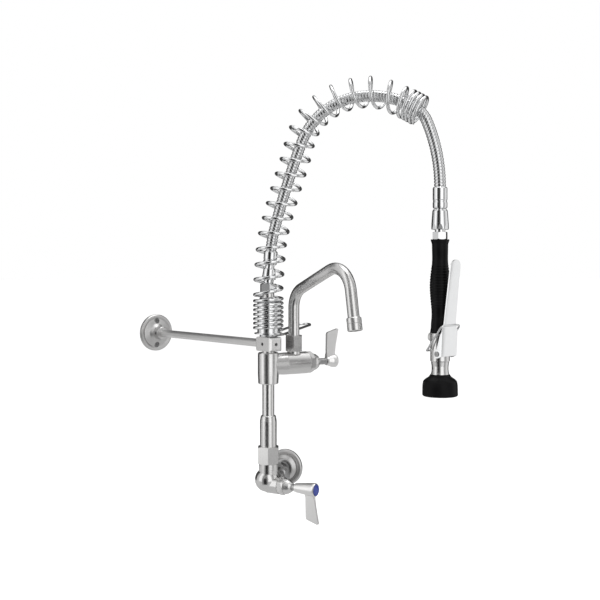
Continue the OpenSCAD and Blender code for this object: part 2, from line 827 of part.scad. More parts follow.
// Index button with a raised rim and a domed face
module button(hub_to) {
    button_x = hub_to - cap_l;
    along_x() turned([
        [0, button_x], [button_r, button_x], [button_r, button_x + cap_l],
        [button_r - 0.8, button_x + cap_l + 0.8], [button_r - 2, button_x + cap_l + 0.8],
        [button_r - 2.6, button_x + cap_l + 0.3], [button_r * 0.4, button_x + cap_l + 0.9],
        [0, button_x + cap_l + 1]
    ]);
}

module at_filler_valve() {
    place() at_branch() translate([branch_end, 0, 0]) children();
}

module at_lower_valve() {
    place() rotate(valve_turn) translate([valve_seat, 0, -valve_drop]) rotate([180, 0, 0]) children();
}

module filler_bonnet() {
    color(steel) at_filler_valve() bonnet(28, 12.6);
}

module filler_cartridge() {
    color(ceramic) at_filler_valve() cartridge();
}

module filler_spindle() {
    color(chrome) at_filler_valve() spindle(filler_hub_to);
}

module filler_handle() {
    color(steel) at_filler_valve() handle(filler_hub_from, filler_hub_to);
}

module filler_handle_screw() {
    at_filler_valve() handle_screw(filler_hub_to);
}

module filler_cap() {
    color(chrome) at_filler_valve() button(filler_hub_to);
}

module valve_bonnet() {
    color(steel) at_lower_valve() bonnet(23, 11);
}

module valve_cartridge() {
    color(ceramic) at_lower_valve() cartridge();
}

module valve_spindle() {
    color(chrome) at_lower_valve() spindle(lower_hub_to);
}

module valve_handle() {
    color(steel) at_lower_valve() handle(lower_hub_from, lower_hub_to);
}

module valve_handle_screw() {
    at_lower_valve() handle_screw(lower_hub_to);
}

module index_button() {
    color(button_blue) at_lower_valve() button(lower_hub_to);
}

// ---- Lower valve and inlet ----

inlet_boss_r = 12;

module at_inlet() {
    place() rotate(inlet_turn) children();
}

module valve_body() {
    color(chrome) place() difference() {
        union() {
            rotate(valve_turn) translate([-ball_shift, 0, 0]) sphere(d = ball_d);
            bar(neck_d, 0, neck_top);
            translate([0, 0, neck_top]) cylinder(r = union_seat_r, h = spigot_h);
            rotate(valve_turn) translate([0, 0, -valve_drop]) along_x()
                cylinder(d = bonnet_bore_d + 2.4, h = valve_seat);
            rotate(inlet_turn) along_x() cylinder(r = inlet_boss_r, h = inlet_nut_s + inlet_nut_l * 0.45);
        }
        bar(water_bore, 0, spigot_top + 1);
        rotate(inlet_turn) along_x() cylinder(d = water_bore, h = 60);
        rotate(valve_turn) translate([0, 0, -valve_drop]) along_x() {
            translate([0, 0, valve_seat - spigot_l - 0.5])
                cylinder(d = bonnet_bore_d + 2 * seat_gap, h = spigot_l + 2);
            translate([0, 0, valve_seat - spigot_l - cartridge_l - 0.8])
                cylinder(d = cartridge_d + 2 * seat_gap, h = cartridge_l + 1);
        }
    }
}

inlet_seat_s = inlet_nut_s + inlet_nut_l * 0.45;
tail_flange_t = 3;
inlet_lip_s = inlet_seat_s + 2 + tail_flange_t;

module inlet_nut() {
    color(dark_steel) at_inlet() along_x() difference() {
        hex_bar(inlet_af, inlet_nut_s, inlet_nut_s + inlet_nut_l, 1.8);
        bar(2 * (inlet_boss_r + seat_gap), inlet_nut_s - 1, inlet_lip_s + seat_gap);
        bar(2 * (inlet_boss_r - 2 + seat_gap), inlet_nut_s, inlet_nut_s + inlet_nut_l + 1);
    }
}

module inlet_washer() {
    color(fibre) at_inlet() along_x() tube(2 * inlet_boss_r, water_bore + 2, inlet_seat_s, inlet_seat_s + 2);
}

module inlet_tail() {
    knuckle_s = inlet_nut_s + inlet_nut_l + 0.5;
    knuckle_l = 7;
    thread_r = inlet_thread_d / 2;
    color(dark_steel) at_inlet() difference() {
        union() {
            along_x() bar(2 * inlet_boss_r, inlet_seat_s + 2, inlet_lip_s);
            along_x() bar(2 * inlet_boss_r - 4, inlet_lip_s, knuckle_s + knuckle_l);
            translate([knuckle_s, 0, 0]) along_x() linear_extrude(knuckle_l) {
                circle(r = inlet_boss_r - 1);
                translate([-inlet_rise, 0]) circle(r = inlet_boss_r - 1);
                translate([-inlet_rise, 1 - inlet_boss_r]) square([inlet_rise, 2 * inlet_boss_r - 2]);
            }
            translate([0, 0, inlet_rise]) along_x() bar(inlet_pipe_d, knuckle_s, inlet_wall_s);
            translate([0, 0, inlet_rise]) along_x()
                bar(inlet_thread_d, inlet_wall_s, inlet_wall_s + inlet_thread_l);
        }
        along_x() bar(water_bore, inlet_seat_s, knuckle_s + knuckle_l - 2);
        translate([0, 0, inlet_rise]) along_x()
            bar(2 * thread_r - 7, knuckle_s + 2, inlet_wall_s + inlet_thread_l + 1);
    }
}

inlet_hub_l = 11;

module at_inlet_flange() {
    at_inlet() translate([inlet_wall_s, 0, inlet_rise]) rotate([0, -90, 0]) children();
}

module inlet_flange() {
    hub_r = inlet_thread_d / 2 + 4;
    color(steel) at_inlet_flange() difference() {
        dished_flange(inlet_flange_d, hub_r, inlet_hub_l);
        bar(inlet_thread_d + 2 * seat_gap, -1, inlet_hub_l + 1);
        translate([0, 0, inlet_hub_l - 3]) rotate([-90, 0, 0])
            cylinder(d = 3 + 2 * seat_gap, h = 2 * hub_r);
    }
}

module inlet_set_screw() {
    color(dark_steel) at_inlet_flange() translate([0, 0, inlet_hub_l - 3]) rotate([-90, 0, 0])
        translate([0, 0, inlet_pipe_d / 2 + seat_gap]) cylinder(d = 3, h = 4.2);
}

// ---- Spout ----

spout_foot = 10.6;
boss_top_gap = 0.8;
nut_z = branch_z + branch_d / 2 + 1.5;
snap_z = branch_z + boss_h + 0.2;
snap_t = 2;
bend_low = 90 - spout_slope;
bend_high = 90 + spout_slope - spout_lean;
tube_low = branch_z + spout_foot;
nut_top = nut_z + spout_nut_h;

module at_spout() {
    place() rotate(branch_turn) translate([spout_offset, 0, 0]) rotate(spout_turn - branch_turn) children();
}

// Runs of the spout from its foot: [straight length, bend radius, downward bend]
spout_runs = [
    [nut_top - tube_low + spout_rise, spout_low_r, bend_low],
    [spout_arm, spout_high_r, bend_high],
    [spout_leg + 8, 0, 0]
];

// The tube's section, or with a bead the section of the thin seam between two runs
module tube_section(bead = 0) {
    difference() {
        circle(d = spout_d + 2 * bead);
        circle(d = spout_d - 2 * spout_wall - 2 * bead);
    }
}

module tube_seam() {
    translate([0, 0, -seam_t / 2]) linear_extrude(seam_t) tube_section(seam_bead);
}

// The tube along the runs, started upwards in the plane of X and Z
module spout_run(n = 0) {
    run = spout_runs[n];
    linear_extrude(run[0]) tube_section();
    if (n < len(spout_runs) - 1) {
        translate([0, 0, run[0]]) tube_seam();
        translate([run[1], 0, run[0]]) rotate([90, 0, 180])
            rotate_extrude(angle = run[2]) translate([run[1], 0]) tube_section();
        translate([run[1], 0, run[0]]) rotate([0, run[2], 0]) translate([-run[1], 0, 0]) {
            tube_seam();
            spout_run(n + 1);
        }
    }
}

// Children drawn at the lower end of the outlet leg, looking down the leg
module at_outlet(n = 0) {
    run = spout_runs[n];
    if (n < len(spout_runs) - 1) {
        translate([run[1], 0, run[0]]) rotate([0, run[2], 0]) translate([-run[1], 0, 0])
            at_outlet(n + 1) children();
    } else {
        translate([0, 0, run[0] - 8]) children();
    }
}

module spout_tube() {
    color(steel) at_spout() translate([0, 0, tube_low]) difference() {
        spout_run();
        for (z = o_ring_heights) {
            translate([0, 0, z]) difference() {
                cylinder(r = spout_d, h = o_ring_w + 0.4);
                translate([0, 0, -1]) cylinder(r = spout_d / 2 - o_ring_depth, h = 10);
            }
        }
        translate([0, 0, snap_z - tube_low + boss_top_gap]) difference() {
            cylinder(r = spout_d, h = snap_t + 0.1);
            translate([0, 0, -1]) cylinder(r = spout_d / 2 - 0.5, h = 10);
        }
    }
}

o_ring_w = 1.8;
o_ring_depth = 0.7;
o_ring_heights = [4, 10];

module spout_o_rings() {
    color(rubber) at_spout() translate([0, 0, tube_low]) for (z = o_ring_heights) {
        translate([0, 0, z + 0.2]) difference() {
            cylinder(r = spout_d / 2 + run_gap / 2, h = o_ring_w);
            translate([0, 0, -1]) cylinder(r = spout_d / 2 - o_ring_depth, h = 10);
        }
    }
}

module spout_snap_ring() {
    color(steel) at_spout() translate([0, 0, snap_z + boss_top_gap + 0.05]) difference() {
        cylinder(r = boss_d / 2 - 0.2, h = snap_t);
        translate([0, 0, -1]) cylinder(r = spout_d / 2 - 0.5, h = 10);
        translate([0, -1.5, -1]) cube([20, 3, 10]);
    }
}

module spout_nut() {
    color(steel) place() rotate(branch_turn) translate([spout_offset, 0, 0]) difference() {
        hex_bar(spout_af, nut_z, nut_top, 1.2);
        bar(boss_d + 2 * seat_gap, nut_z - 1, snap_z + boss_top_gap + snap_t + face_gap);
        bar(spout_d + 2 * run_gap, nut_z, nut_top + 1);
    }
}

outlet_seat = 8;

module outlet_collar() {
    color(steel) at_spout() translate([0, 0, tube_low]) at_outlet() difference() {
        turned([
            [0, 0], [outlet_d / 2 - 1, 0], [outlet_d / 2, 1], [outlet_d / 2, outlet_l * 0.4],
            [outlet_d / 2 - 0.5, outlet_l * 0.43], [outlet_d / 2, outlet_l * 0.46],
            [outlet_d / 2, outlet_l - 1], [outlet_d / 2 - 1, outlet_l], [0, outlet_l]
        ]);
        bar(spout_d + 2 * seat_gap, -1, outlet_seat);
        bar(spout_d - 3, 0, outlet_l);
        bar(outlet_d - 4, outlet_seat + 1.5, outlet_l + 1);
    }
}

module outlet_screen() {
    screen_z = outlet_seat + 1.5;
    color(chrome) at_spout() translate([0, 0, tube_low]) at_outlet() difference() {
        bar(outlet_d - 4 - 2 * seat_gap, screen_z, screen_z + 4);
        for (ring = [[2.6, 6], [5.6, 12]]) {
            for (n = [1:ring[1]]) {
                rotate(360 * n / ring[1]) translate([ring[0], 0, 0]) bar(1.6, screen_z - 1, screen_z + 5);
            }
        }
    }
}

// ---- Overhead hose ----

// Frame of the arch at the length s: origin on its centreline, +Z along the hose
module at_arch(s) {
    p = arch_point(s);
    place() rotate(arch_turn) translate([p[0], 0, p[1]]) rotate([0, arch_heading(s + 0.001), 0]) children();
}

module hose_nut() {
    color(chrome) place() difference() {
        hex_bar(hose_af, hose_nut_z, route_z, 1.4);
        bar(riser_d + 2 * run_gap, hose_nut_z - 1, riser_top + face_gap);
        bar(hose_bore + 2, hose_nut_z, route_z + 1);
    }
}

// Tail that sits in the nut and the tapered coupling above it
module hose_coupling() {
    color(chrome) at_arch(0) difference() {
        turned([
            [0, 0.8], [6.6, 0.8], [7.2, 2], [7.2, tail_h], [9.4, tail_h], [10, tail_h + 1],
            [8.6, tail_h + coupling_low_h - 1], [7.8, tail_h + coupling_low_h],
            [6.6, tail_h + coupling_low_h],
            [6.6, fittings_l - lower_ferrule_l], [0, fittings_l - lower_ferrule_l]
        ]);
        bar(hose_bore - 2, -1, fittings_l);
    }
}

// Crimped ferrule of length l with its mouth at z = l
module ferrule(l) {
    turned([
        [0, 0], [ferrule_d / 2 - 1.6, 0], [ferrule_d / 2 - 0.4, 1], [ferrule_d / 2, 2.4],
        [ferrule_d / 2, l * 0.28], [ferrule_d / 2 - 0.5, l * 0.32], [ferrule_d / 2 - 0.5, l * 0.38],
        [ferrule_d / 2, l * 0.42], [ferrule_d / 2, l - 1.6], [ferrule_d / 2 - 1.2, l], [0, l]
    ]);
}

hose_seat_r = hose_d / 2 + 0.05;

module lower_ferrule() {
    color(chrome) at_arch(fittings_l - lower_ferrule_l) difference() {
        ferrule(lower_ferrule_l);
        bar(2 * hose_seat_r, hose_start - fittings_l + lower_ferrule_l, lower_ferrule_l + 1);
        bar(hose_bore, -1, lower_ferrule_l);
    }
}

module upper_ferrule() {
    color(chrome) at_arch(arch_l) rotate([0, 180, 0]) difference() {
        ferrule(upper_ferrule_l);
        bar(2 * hose_seat_r, arch_l - hose_end, upper_ferrule_l + 1);
        bar(hose_bore, -1, upper_ferrule_l);
    }
}

// Point at the angle a and the radius r on the ring at the length s of the arch
function on_ring(s, r, a) = let (p = arch_point(s), h = arch_heading(s))
    [p[0] + r * cos(a) * cos(h), r * sin(a), p[1] - r * cos(a) * sin(h)];

// Triangles between rings of m points; the list goes round from the ring first to the ring last
function ring_faces(first, last, m) = [
    for (i = [first:last - 1]) for (k = [0:m - 1]) let (
        a = i * m + k, b = i * m + (k + 1) % m, c = a + m, d = b + m
    ) each [[a, c, b], [b, c, d]]
];

hose_sides = 8;
rib_pitch = (hose_end - hose_start) / rib_count;
bore_steps = 50;

// The ribbed hose: two rings for each rib outside, and the bore's rings back down inside
module hose() {
    outer = [
        for (i = [0:2 * rib_count]) for (k = [0:hose_sides - 1])
            on_ring(
                hose_start + i * rib_pitch / 2,
                hose_d / 2 - (i % 2 == 0 ? rib_depth : 0),
                360 * k / hose_sides
            )
    ];
    inner = [
        for (i = [bore_steps:-1:0]) for (k = [0:hose_sides - 1])
            on_ring(
                hose_start + i * (hose_end - hose_start) / bore_steps,
                hose_bore / 2,
                360 * k / hose_sides
            )
    ];
    rings = 2 * rib_count + bore_steps + 2;
    closing = [
        for (k = [0:hose_sides - 1]) let (
            top = (rings - 1) * hose_sides, a = k, b = (k + 1) % hose_sides
        ) each [[top + a, a, top + b], [top + b, a, b]]
    ];
    color(chrome) place() rotate(arch_turn)
        polyhedron(
            points = concat(outer, inner),
            faces = concat(ring_faces(0, rings - 1, hose_sides), closing)
        );
}

// ---- Overhead spring ----

curls = foot_curls + open_curls + end_curls;
wire_sides = 6;
spring_rings = curls * curl_rings;
crown_s = fittings_l + arch_foot_l + arch_rise_l;
fall_s = crown_s + arch_crown_l;
lift_rise = [crown_s - 26, crown_s + 29];
lift_fall = [fall_s + 29, fall_s + 72];
spring_start = holder_z + holder_foot_t + spring_wire / 2 + 0.25 - route_z;

// Share of the open pitch at the curl t: it grows over one curl and falls over one curl
function openness(t) = max(0, min(1, t - foot_curls, foot_curls + open_curls - t));
function curl_pitch(t) = let (o = openness(t), close = t < curls / 2 ? foot_pitch : end_pitch)
    close + (open_pitch - close) * o;
spring_lengths = [
    for (i = 0, s = spring_start; i <= spring_rings; s = s + curl_pitch((i + 0.5) / curl_rings) / curl_rings,
         i = i + 1) s
];

// The hose sags inside the spring over the arch's crown, so the spring's centre lies above the hose's there
function ramp(s, between) = max(0, min(1, (s - between[0]) / (between[1] - between[0])));
function lift_at(s) = spring_lift * (ramp(s, lift_rise) - ramp(s, lift_fall));
function spring_centre(s) = let (p = arch_point(s), h = arch_heading(s))
    [p[0] - lift_at(s) * cos(h), 0, p[1] + lift_at(s) * sin(h)];
spring_points = [
    for (i = [0:spring_rings]) let (s = spring_lengths[i], p = arch_point(s))
        on_ring(s, spring_d / 2, 360 * i / curl_rings) + spring_centre(s) - [p[0], 0, p[1]]
];

function unit(v) = v / norm(v);
function clamp(i) = max(0, min(spring_rings, i));

// Ring of the wire round its centre i: one side points away from the arch's centreline
function wire_ring(i) = let (
    p = spring_points[i],
    run = unit(spring_points[clamp(i + 1)] - spring_points[clamp(i - 1)]),
    radial = unit(p - spring_centre(spring_lengths[i])),
    side = unit(cross(run, radial)),
    out = cross(side, run)
) [for (k = [0:wire_sides - 1]) p + spring_wire / 2 * (cos(60 * k) * out + sin(60 * k) * side)];

// Least gap between curls: measured between each centre and the centres one curl on
spring_gap = min([
    for (i = [0:spring_rings - curl_rings]) for (k = [-1:1])
        norm(spring_points[clamp(i + curl_rings + k)] - spring_points[i])
]) - spring_wire;
echo(spring_gap = spring_gap, spring_end = spring_lengths[spring_rings], arch_l = arch_l);

module overhead_spring() {
    points = [for (i = [0:spring_rings]) each wire_ring(i)];
    last = spring_rings * wire_sides;
    caps = [for (k = [1:wire_sides - 2]) each [[0, k, k + 1], [last, last + k + 1, last + k]]];
    color(chrome) place() rotate(arch_turn)
        polyhedron(points = points, faces = concat(ring_faces(0, spring_rings, wire_sides), caps));
}

// ---- Spray valve ----

module at_spray() {
    place() rotate(arch_turn) translate([spray_x, 0, 0]) rotate(spray_turn - arch_turn) children();
}

tail_flange_r = 6.6;
tail_tube_r = 5.4;
swivel_lip = 8;
tail_low = coupling_z + coupling_h - swivel_lip - 3;

module swivel_tail() {
    color(chrome) at_spray() difference() {
        union() {
            bar(2 * tail_tube_r, tail_low, arch_end[1] - face_gap / 2);
            bar(2 * tail_flange_r, tail_low, tail_low + 2.6);
        }
        bar(hose_bore - 3, tail_low - 1, arch_end[1] + 1);
    }
}

module swivel_washer() {
    color(rubber) at_spray() tube(2 * tail_flange_r, hose_bore - 2, tail_low - 2.5, tail_low - face_gap);
}

module swivel_coupling() {
    color(chrome) at_spray() difference() {
        intersection() {
            turned([
                [0, coupling_z], [coupling_foot_d / 2 - 1, coupling_z],
                [coupling_foot_d / 2, coupling_z + 1], [coupling_foot_d / 2, coupling_z + 3],
                [coupling_top_d / 2, coupling_z + coupling_h - 2],
                [coupling_top_d / 2 - 1.2, coupling_z + coupling_h], [0, coupling_z + coupling_h]
            ]);
            rotate(22.5) translate([0, 0, coupling_z])
                cylinder(r = coupling_foot_d / 2 + 0.6, h = coupling_h, $fn = 8);
        }
        bar(2 * (tail_tube_r + run_gap), coupling_z, coupling_z + coupling_h + 1);
        bar(2 * (tail_flange_r + 0.4), coupling_z - 1, coupling_z + coupling_h - swivel_lip);
    }
}

grip_tube_top = tail_low - 2.6;

module hex_collar() {
    color(chrome) at_spray() difference() {
        hex_bar(18, collar_z, collar_z + collar_h, 1);
        bar(grip_tube_d + 2 * seat_gap, collar_z - 1, collar_z + collar_h + 1);
    }
}

body_spigot_h = 12;
body_spigot_r = 5.5;

// Tube through the grip: thin at its top, where it screws into the coupling
module grip_tube() {
    neck_r = tail_flange_r + 0.3;
    color(chrome) at_spray() difference() {
        union() {
            bar(2 * neck_r, collar_z + collar_h - 2, grip_tube_top);
            bar(grip_tube_d, grip_z + face_gap / 3, collar_z + collar_h);
        }
        bar(9, grip_z, grip_tube_top + 1);
        bar(2 * (body_spigot_r + seat_gap), grip_z - 1, grip_z + body_spigot_h + 0.5);
    }
}

// Stations of the grip's outline: [height share, radius], joined by a smooth wave
grip_stations = [
    [0, 13.2], [0.07, 12.2], [0.19, 11.3], [0.5, belly_d / 2], [0.8, 10.5], [0.94, 10.8], [1, 12.5]
];

function grip_radius(t, n = 0) = t <= grip_stations[n + 1][0] || n == len(grip_stations) - 2
    ? let (
        a = grip_stations[n], b = grip_stations[n + 1],
        w = (1 - cos(180 * (t - a[0]) / (b[0] - a[0]))) / 2
      ) a[1] + (b[1] - a[1]) * w
    : grip_radius(t, n + 1);

grip_steps = 30;
rib_low = 0.27;
rib_high = 0.72;
rib_out = 0.4;
rib_h = 1.3;

module grip() {
    outline = [for (i = [0:grip_steps]) [grip_radius(i / grip_steps), grip_z + grip_l * i / grip_steps]];
    color(rubber) at_spray() difference() {
        union() {
            turned(concat([[0, grip_z]], outline, [[0, grip_z + grip_l]]));
            for (n = [0:belly_ribs - 1]) {
                t = rib_low + (rib_high - rib_low) * n / (belly_ribs - 1);
                r = grip_radius(t) + rib_out;
                translate([0, 0, grip_z + grip_l * t]) turned([
                    [0, -rib_h], [r - 0.7, -rib_h], [r, -rib_h / 2],
                    [r, rib_h / 2], [r - 0.7, rib_h], [0, rib_h]
                ]);
            }
        }
        bar(grip_tube_d + 2 * seat_gap, grip_z - 1, grip_z + grip_l + 1);
    }
}

port_r = 4.6;
port_out = body_d / 2 + 0.8;
boss_out = 13.3;
body_spigot_low = waist_z - 12;

module spray_body() {
    color(chrome) at_spray() difference() {
        union() {
            turned([
                [0, body_spigot_low], [9.6, body_spigot_low], [10, body_spigot_low + 0.6], [10, waist_z],
                [waist_d / 2 + 1.2, waist_z], [waist_d / 2 + 0.5, waist_z + 2.5],
                [waist_d / 2, waist_z + waist_h * 0.35], [waist_d / 2 + 0.1, waist_z + waist_h * 0.6],
                [waist_d / 2 + 1, body_z - 1], [body_d / 2 - 0.6, body_z - 0.8], [body_d / 2, body_z],
                [body_d / 2, grip_z - 0.8],
                [body_d / 2 - 0.8, grip_z], [body_spigot_r, grip_z],
                [body_spigot_r, grip_z + body_spigot_h], [0, grip_z + body_spigot_h]
            ]);
            translate([0, 0, stem_z]) along_x() bar(2 * (stem_drop - face_gap), -port_out, 0);
            translate([0, 0, stem_z]) along_x() bar(11, 0, boss_out);
        }
        bar(7, stem_z, grip_z + body_spigot_h + 1);
        bar(7, body_spigot_low - 1, stem_z);
        translate([0, 0, stem_z]) along_x() bar(2 * port_r, -port_out - 1, 7);
        translate([0, 0, stem_z]) along_x() bar(stem_d + 2 * run_gap, 0, port_out);
        translate([pivot_out, 0, pivot_z]) rotate([90, 0, 0])
            cylinder(d = pivot_d + 2 * seat_gap, h = 40, center = true);
        translate([ring_pivot_x, 0, ring_pivot_z]) rotate([90, 0, 0])
            cylinder(d = ring_wire + 2 * run_gap, h = 40, center = true);
    }
}

rear_cap_h = 3.4;

module rear_cap() {
    color(chrome) at_spray() translate([0, 0, stem_z]) along_x() {
        hex_bar(11.4, -port_out - rear_cap_h, -port_out, 0.8);
        bar(2 * (port_r - seat_gap), -port_out, -port_out + 3);
    }
}

// Closing spring of the stem
stem_spring_wire = 0.8;

module stem_spring() {
    low = -port_out + 3;
    high = stem_disc_x - pivot_stem * tan(squeeze) - face_gap / 2;
    color(steel) at_spray() translate([0, 0, stem_z]) along_x()
        tube(2 * (port_r - 0.4), 2 * (port_r - 0.4 - stem_spring_wire), low, high);
}

stem_disc_x = -3;
pivot_stem = pivot_drop - stem_drop;
stem_tip_x = 14.7;

module valve_stem() {
    color(chrome) at_spray() translate([0, 0, stem_z]) along_x() {
        bar(stem_d, stem_disc_x, stem_tip_x);
        bar(2 * (port_r - 0.3), stem_disc_x, stem_disc_x + 2);
    }
}

bumper_wall_top = 13.6;

module bumper() {
    rose_z = bumper_z + 9;
    color(rubber) at_spray() difference() {
        turned([
            [0, bumper_z], [bumper_d / 2 - 1.6, bumper_z], [bumper_d / 2, bumper_z + 1.6],
            [bumper_d / 2 - 0.4, bumper_z + bumper_h * 0.5], [bumper_d / 2 - 1.4, bumper_z + bumper_h * 0.68],
            [bumper_d / 2 - 3, bumper_z + bumper_h * 0.74],
            [bumper_wall_top + 1.6, bumper_z + bumper_h * 0.88],
            [bumper_wall_top, waist_z - 1], [bumper_wall_top - 1, waist_z], [0, waist_z]
        ]);
        bar(20 + 2 * seat_gap, body_spigot_low, waist_z + 1);
        bar(17, rose_z, body_spigot_low + 0.01);
        bar(plate_d - 4, bumper_z - 1, rose_z + 0.01);
        turned([
            [0, rose_z - 0.05], [plate_d / 2, rose_z - 0.05], [plate_d / 2, rose_z + 2.55], [0, rose_z + 2.55]
        ]);
    }
}

module spray_plate() {
    rose_z = bumper_z + 9;
    color(chrome) at_spray() difference() {
        bar(plate_d - 2 * seat_gap, rose_z, rose_z + 2.5);
        for (ring = [[5, 6], [10, 12], [14, 16]]) {
            for (n = [1:ring[1]]) {
                rotate(360 * n / ring[1]) translate([ring[0], 0, 0]) bar(1.8, rose_z - 1, rose_z + 4);
            }
        }
    }
}

// ---- Trigger ----

cheek_gap = (lever_w - 2 * lever_t) / 2;
eye_r = pivot_d / 2 + 3.5;

// Distances of the lever's outer face from the pin: at its foot, at the plate's top and at the strip's end
foot_out = 7.8;
shoulder_out = 10;
tip_out = 21;
plate_top = 38;
plate_foot = -3;

module lever_pin() {
    pin_half = lever_w / 2 + 0.4;
    color(chrome) at_spray() translate([pivot_out, 0, pivot_z]) rotate([90, 0, 0]) {
        cylinder(d = pivot_d, h = 2 * pin_half, center = true);
        for (side = [-1, 1]) {
            translate([0, 0, side * (pin_half + 0.3)]) difference() {
                cylinder(d = pivot_d + 3, h = 1.2, center = true);
                translate([0, 0, side * 0.5]) cylinder(d = 2.4, h = 1, center = true, $fn = 6);
            }
        }
    }
}

// Outline of the lever's front, [across, up from the pin]: a plate that narrows to the thumb strip
module lever_front() {
    half = lever_w / 2;
    thumb = thumb_w / 2;
    base = thumb + 1.6;
    translate([0, lever_l - thumb]) circle(r = thumb);
    polygon([
        [-half, plate_foot], [half, plate_foot], [half, plate_top - 7], [half - 2, plate_top - 3.4],
        [base + 0.6, plate_top], [base, plate_top + 6], [thumb, lever_l - thumb],
        [-thumb, lever_l - thumb], [-base, plate_top + 6], [-base - 0.6, plate_top],
        [-half + 2, plate_top - 3.4], [-half, plate_top - 7]
    ]);
}

// Side of the lever's sheet, [out from the pin, up from the pin]: a plate, then a strip that leans out more
module lever_side(t) {
    polygon([
        [foot_out - t, plate_foot], [foot_out, plate_foot], [shoulder_out, plate_top],
        [shoulder_out + 0.8, plate_top + 9], [tip_out - 1.6, lever_l - 10], [tip_out, lever_l],
        [tip_out - t, lever_l], [tip_out - 1.6 - t, lever_l - 10], [shoulder_out + 0.8 - t, plate_top + 9],
        [shoulder_out - t, plate_top]
    ]);
}

// Cheek of the lever, [out from the pin, up from the pin]
module cheek_side() {
    difference() {
        union() {
            circle(r = eye_r);
            polygon([
                [1, -eye_r], [foot_out - 0.6, plate_foot], [foot_out, plate_foot],
                [foot_out + 1.6, plate_top - 8], [foot_out + 0.6, plate_top - 8],
                [foot_out - 3.2, plate_top - 15],
                [foot_out - 6, 13], [-1.4, eye_r - 0.2]
            ]);
        }
        circle(d = pivot_d + 2 * run_gap);
    }
}

module spray_lever() {
    color(chrome) at_spray() translate([pivot_out, 0, pivot_z]) {
        intersection() {
            rotate([90, 0, 0]) translate([0, 0, -lever_w / 2 - 1]) linear_extrude(lever_w + 2)
                lever_side(lever_t);
            rotate([90, 0, 90]) linear_extrude(60) lever_front();
        }
        for (side = [0, 1]) {
            mirror([0, side, 0]) translate([0, -cheek_gap, 0]) rotate([90, 0, 0])
                linear_extrude(lever_t) cheek_side();
        }
    }
}

ring_pivot_x = -7;
ring_pivot_z = pivot_z + 4;
ring_half = lever_w / 2 + 1.7 + ring_wire / 2;
ring_far = [pivot_out + shoulder_out + 0.3 + ring_wire / 2, pivot_z + plate_top];

// Bail of wire: its ends turn into the body, its arms rise past the lever's cheeks and meet in front
module hold_ring() {
    run = [ring_far[0] - ring_pivot_x, ring_far[1] - ring_pivot_z];
    arm = norm(run);
    lift = atan2(run[1], run[0]);
    corner = 5;
    color(chrome) at_spray() translate([ring_pivot_x, 0, ring_pivot_z]) rotate([0, -lift, 0]) {
        for (side = [0, 1]) {
            mirror([0, side, 0]) {
                translate([0, 9.5, 0]) rotate([-90, 0, 0])
                    cylinder(d = ring_wire, h = ring_half - 9.5, $fn = 32);
                translate([0, ring_half, 0]) sphere(d = ring_wire, $fn = 32);
                translate([0, ring_half, 0]) along_x() cylinder(d = ring_wire, h = arm - corner, $fn = 32);
                translate([arm - corner, ring_half - corner, 0]) rotate_extrude(angle = 90)
                    translate([corner, 0]) circle(d = ring_wire, $fn = 32);
                translate([arm, 0, 0]) rotate([-90, 0, 0])
                    cylinder(d = ring_wire, h = ring_half - corner, $fn = 32);
            }
        }
    }
}

wall_flange();
wall_screws();
flange_set_screw();
bracket_rod();
bracket_block();
block_screws();
upper_riser();
lower_riser();
filler_body();
adjusting_bush();
union_nut();
union_washer();
spring_holder();
spray_hook();
spout_nut();
filler_bonnet();
filler_cartridge();
filler_spindle();
filler_handle();
filler_handle_screw();
filler_cap();
spout_tube();
spout_o_rings();
spout_snap_ring();
outlet_collar();
outlet_screen();
valve_body();
valve_bonnet();
valve_cartridge();
inlet_nut();
inlet_washer();
inlet_tail();
inlet_flange();
inlet_set_screw();
valve_spindle();
valve_handle();
valve_handle_screw();
index_button();
hose_nut();
hose_coupling();
lower_ferrule();
overhead_spring();
hose();
upper_ferrule();
swivel_tail();
swivel_washer();
swivel_coupling();
hex_collar();
grip_tube();
grip();
spray_body();
rear_cap();
stem_spring();
bumper();
spray_plate();
lever_pin();
spray_lever();
hold_ring();
valve_stem();
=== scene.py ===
"""Finishes for a wall mounted pre rinse faucet: spring, hose, grip, bumper, metals and a plain studio.

Everything is in metres in the part's own frame: the origin is the centre of the wall flange's back face,
+Y goes into the wall and +Z is up. The new pieces are surfaces worked out as whole numpy arrays.
"""

import math

import bmesh
import bpy
import numpy as np
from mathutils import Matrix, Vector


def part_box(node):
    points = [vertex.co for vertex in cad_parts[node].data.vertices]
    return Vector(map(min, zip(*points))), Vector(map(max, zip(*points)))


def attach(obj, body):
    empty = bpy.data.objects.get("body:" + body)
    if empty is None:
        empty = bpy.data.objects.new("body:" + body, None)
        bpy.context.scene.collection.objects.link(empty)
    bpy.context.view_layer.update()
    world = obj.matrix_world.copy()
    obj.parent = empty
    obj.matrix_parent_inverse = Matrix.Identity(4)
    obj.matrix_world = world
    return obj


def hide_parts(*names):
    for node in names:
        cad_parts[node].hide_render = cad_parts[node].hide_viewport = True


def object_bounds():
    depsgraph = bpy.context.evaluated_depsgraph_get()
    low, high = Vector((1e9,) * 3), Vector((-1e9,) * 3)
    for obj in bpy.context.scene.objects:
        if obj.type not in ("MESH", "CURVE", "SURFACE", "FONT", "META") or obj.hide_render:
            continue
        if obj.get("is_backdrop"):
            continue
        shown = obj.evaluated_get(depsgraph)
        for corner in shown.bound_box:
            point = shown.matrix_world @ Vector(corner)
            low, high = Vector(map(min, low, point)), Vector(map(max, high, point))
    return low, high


bl_info = {
    "name": "Pre Rinse Faucet Finishes",
    "version": (1, 0, 0),
    "blender": (4, 5, 0),
    "location": "3D View > Sidebar > Faucet",
    "description": "Dresses the parts of a pre rinse faucet in steel, chrome and rubber",
    "category": "Add Mesh",
}

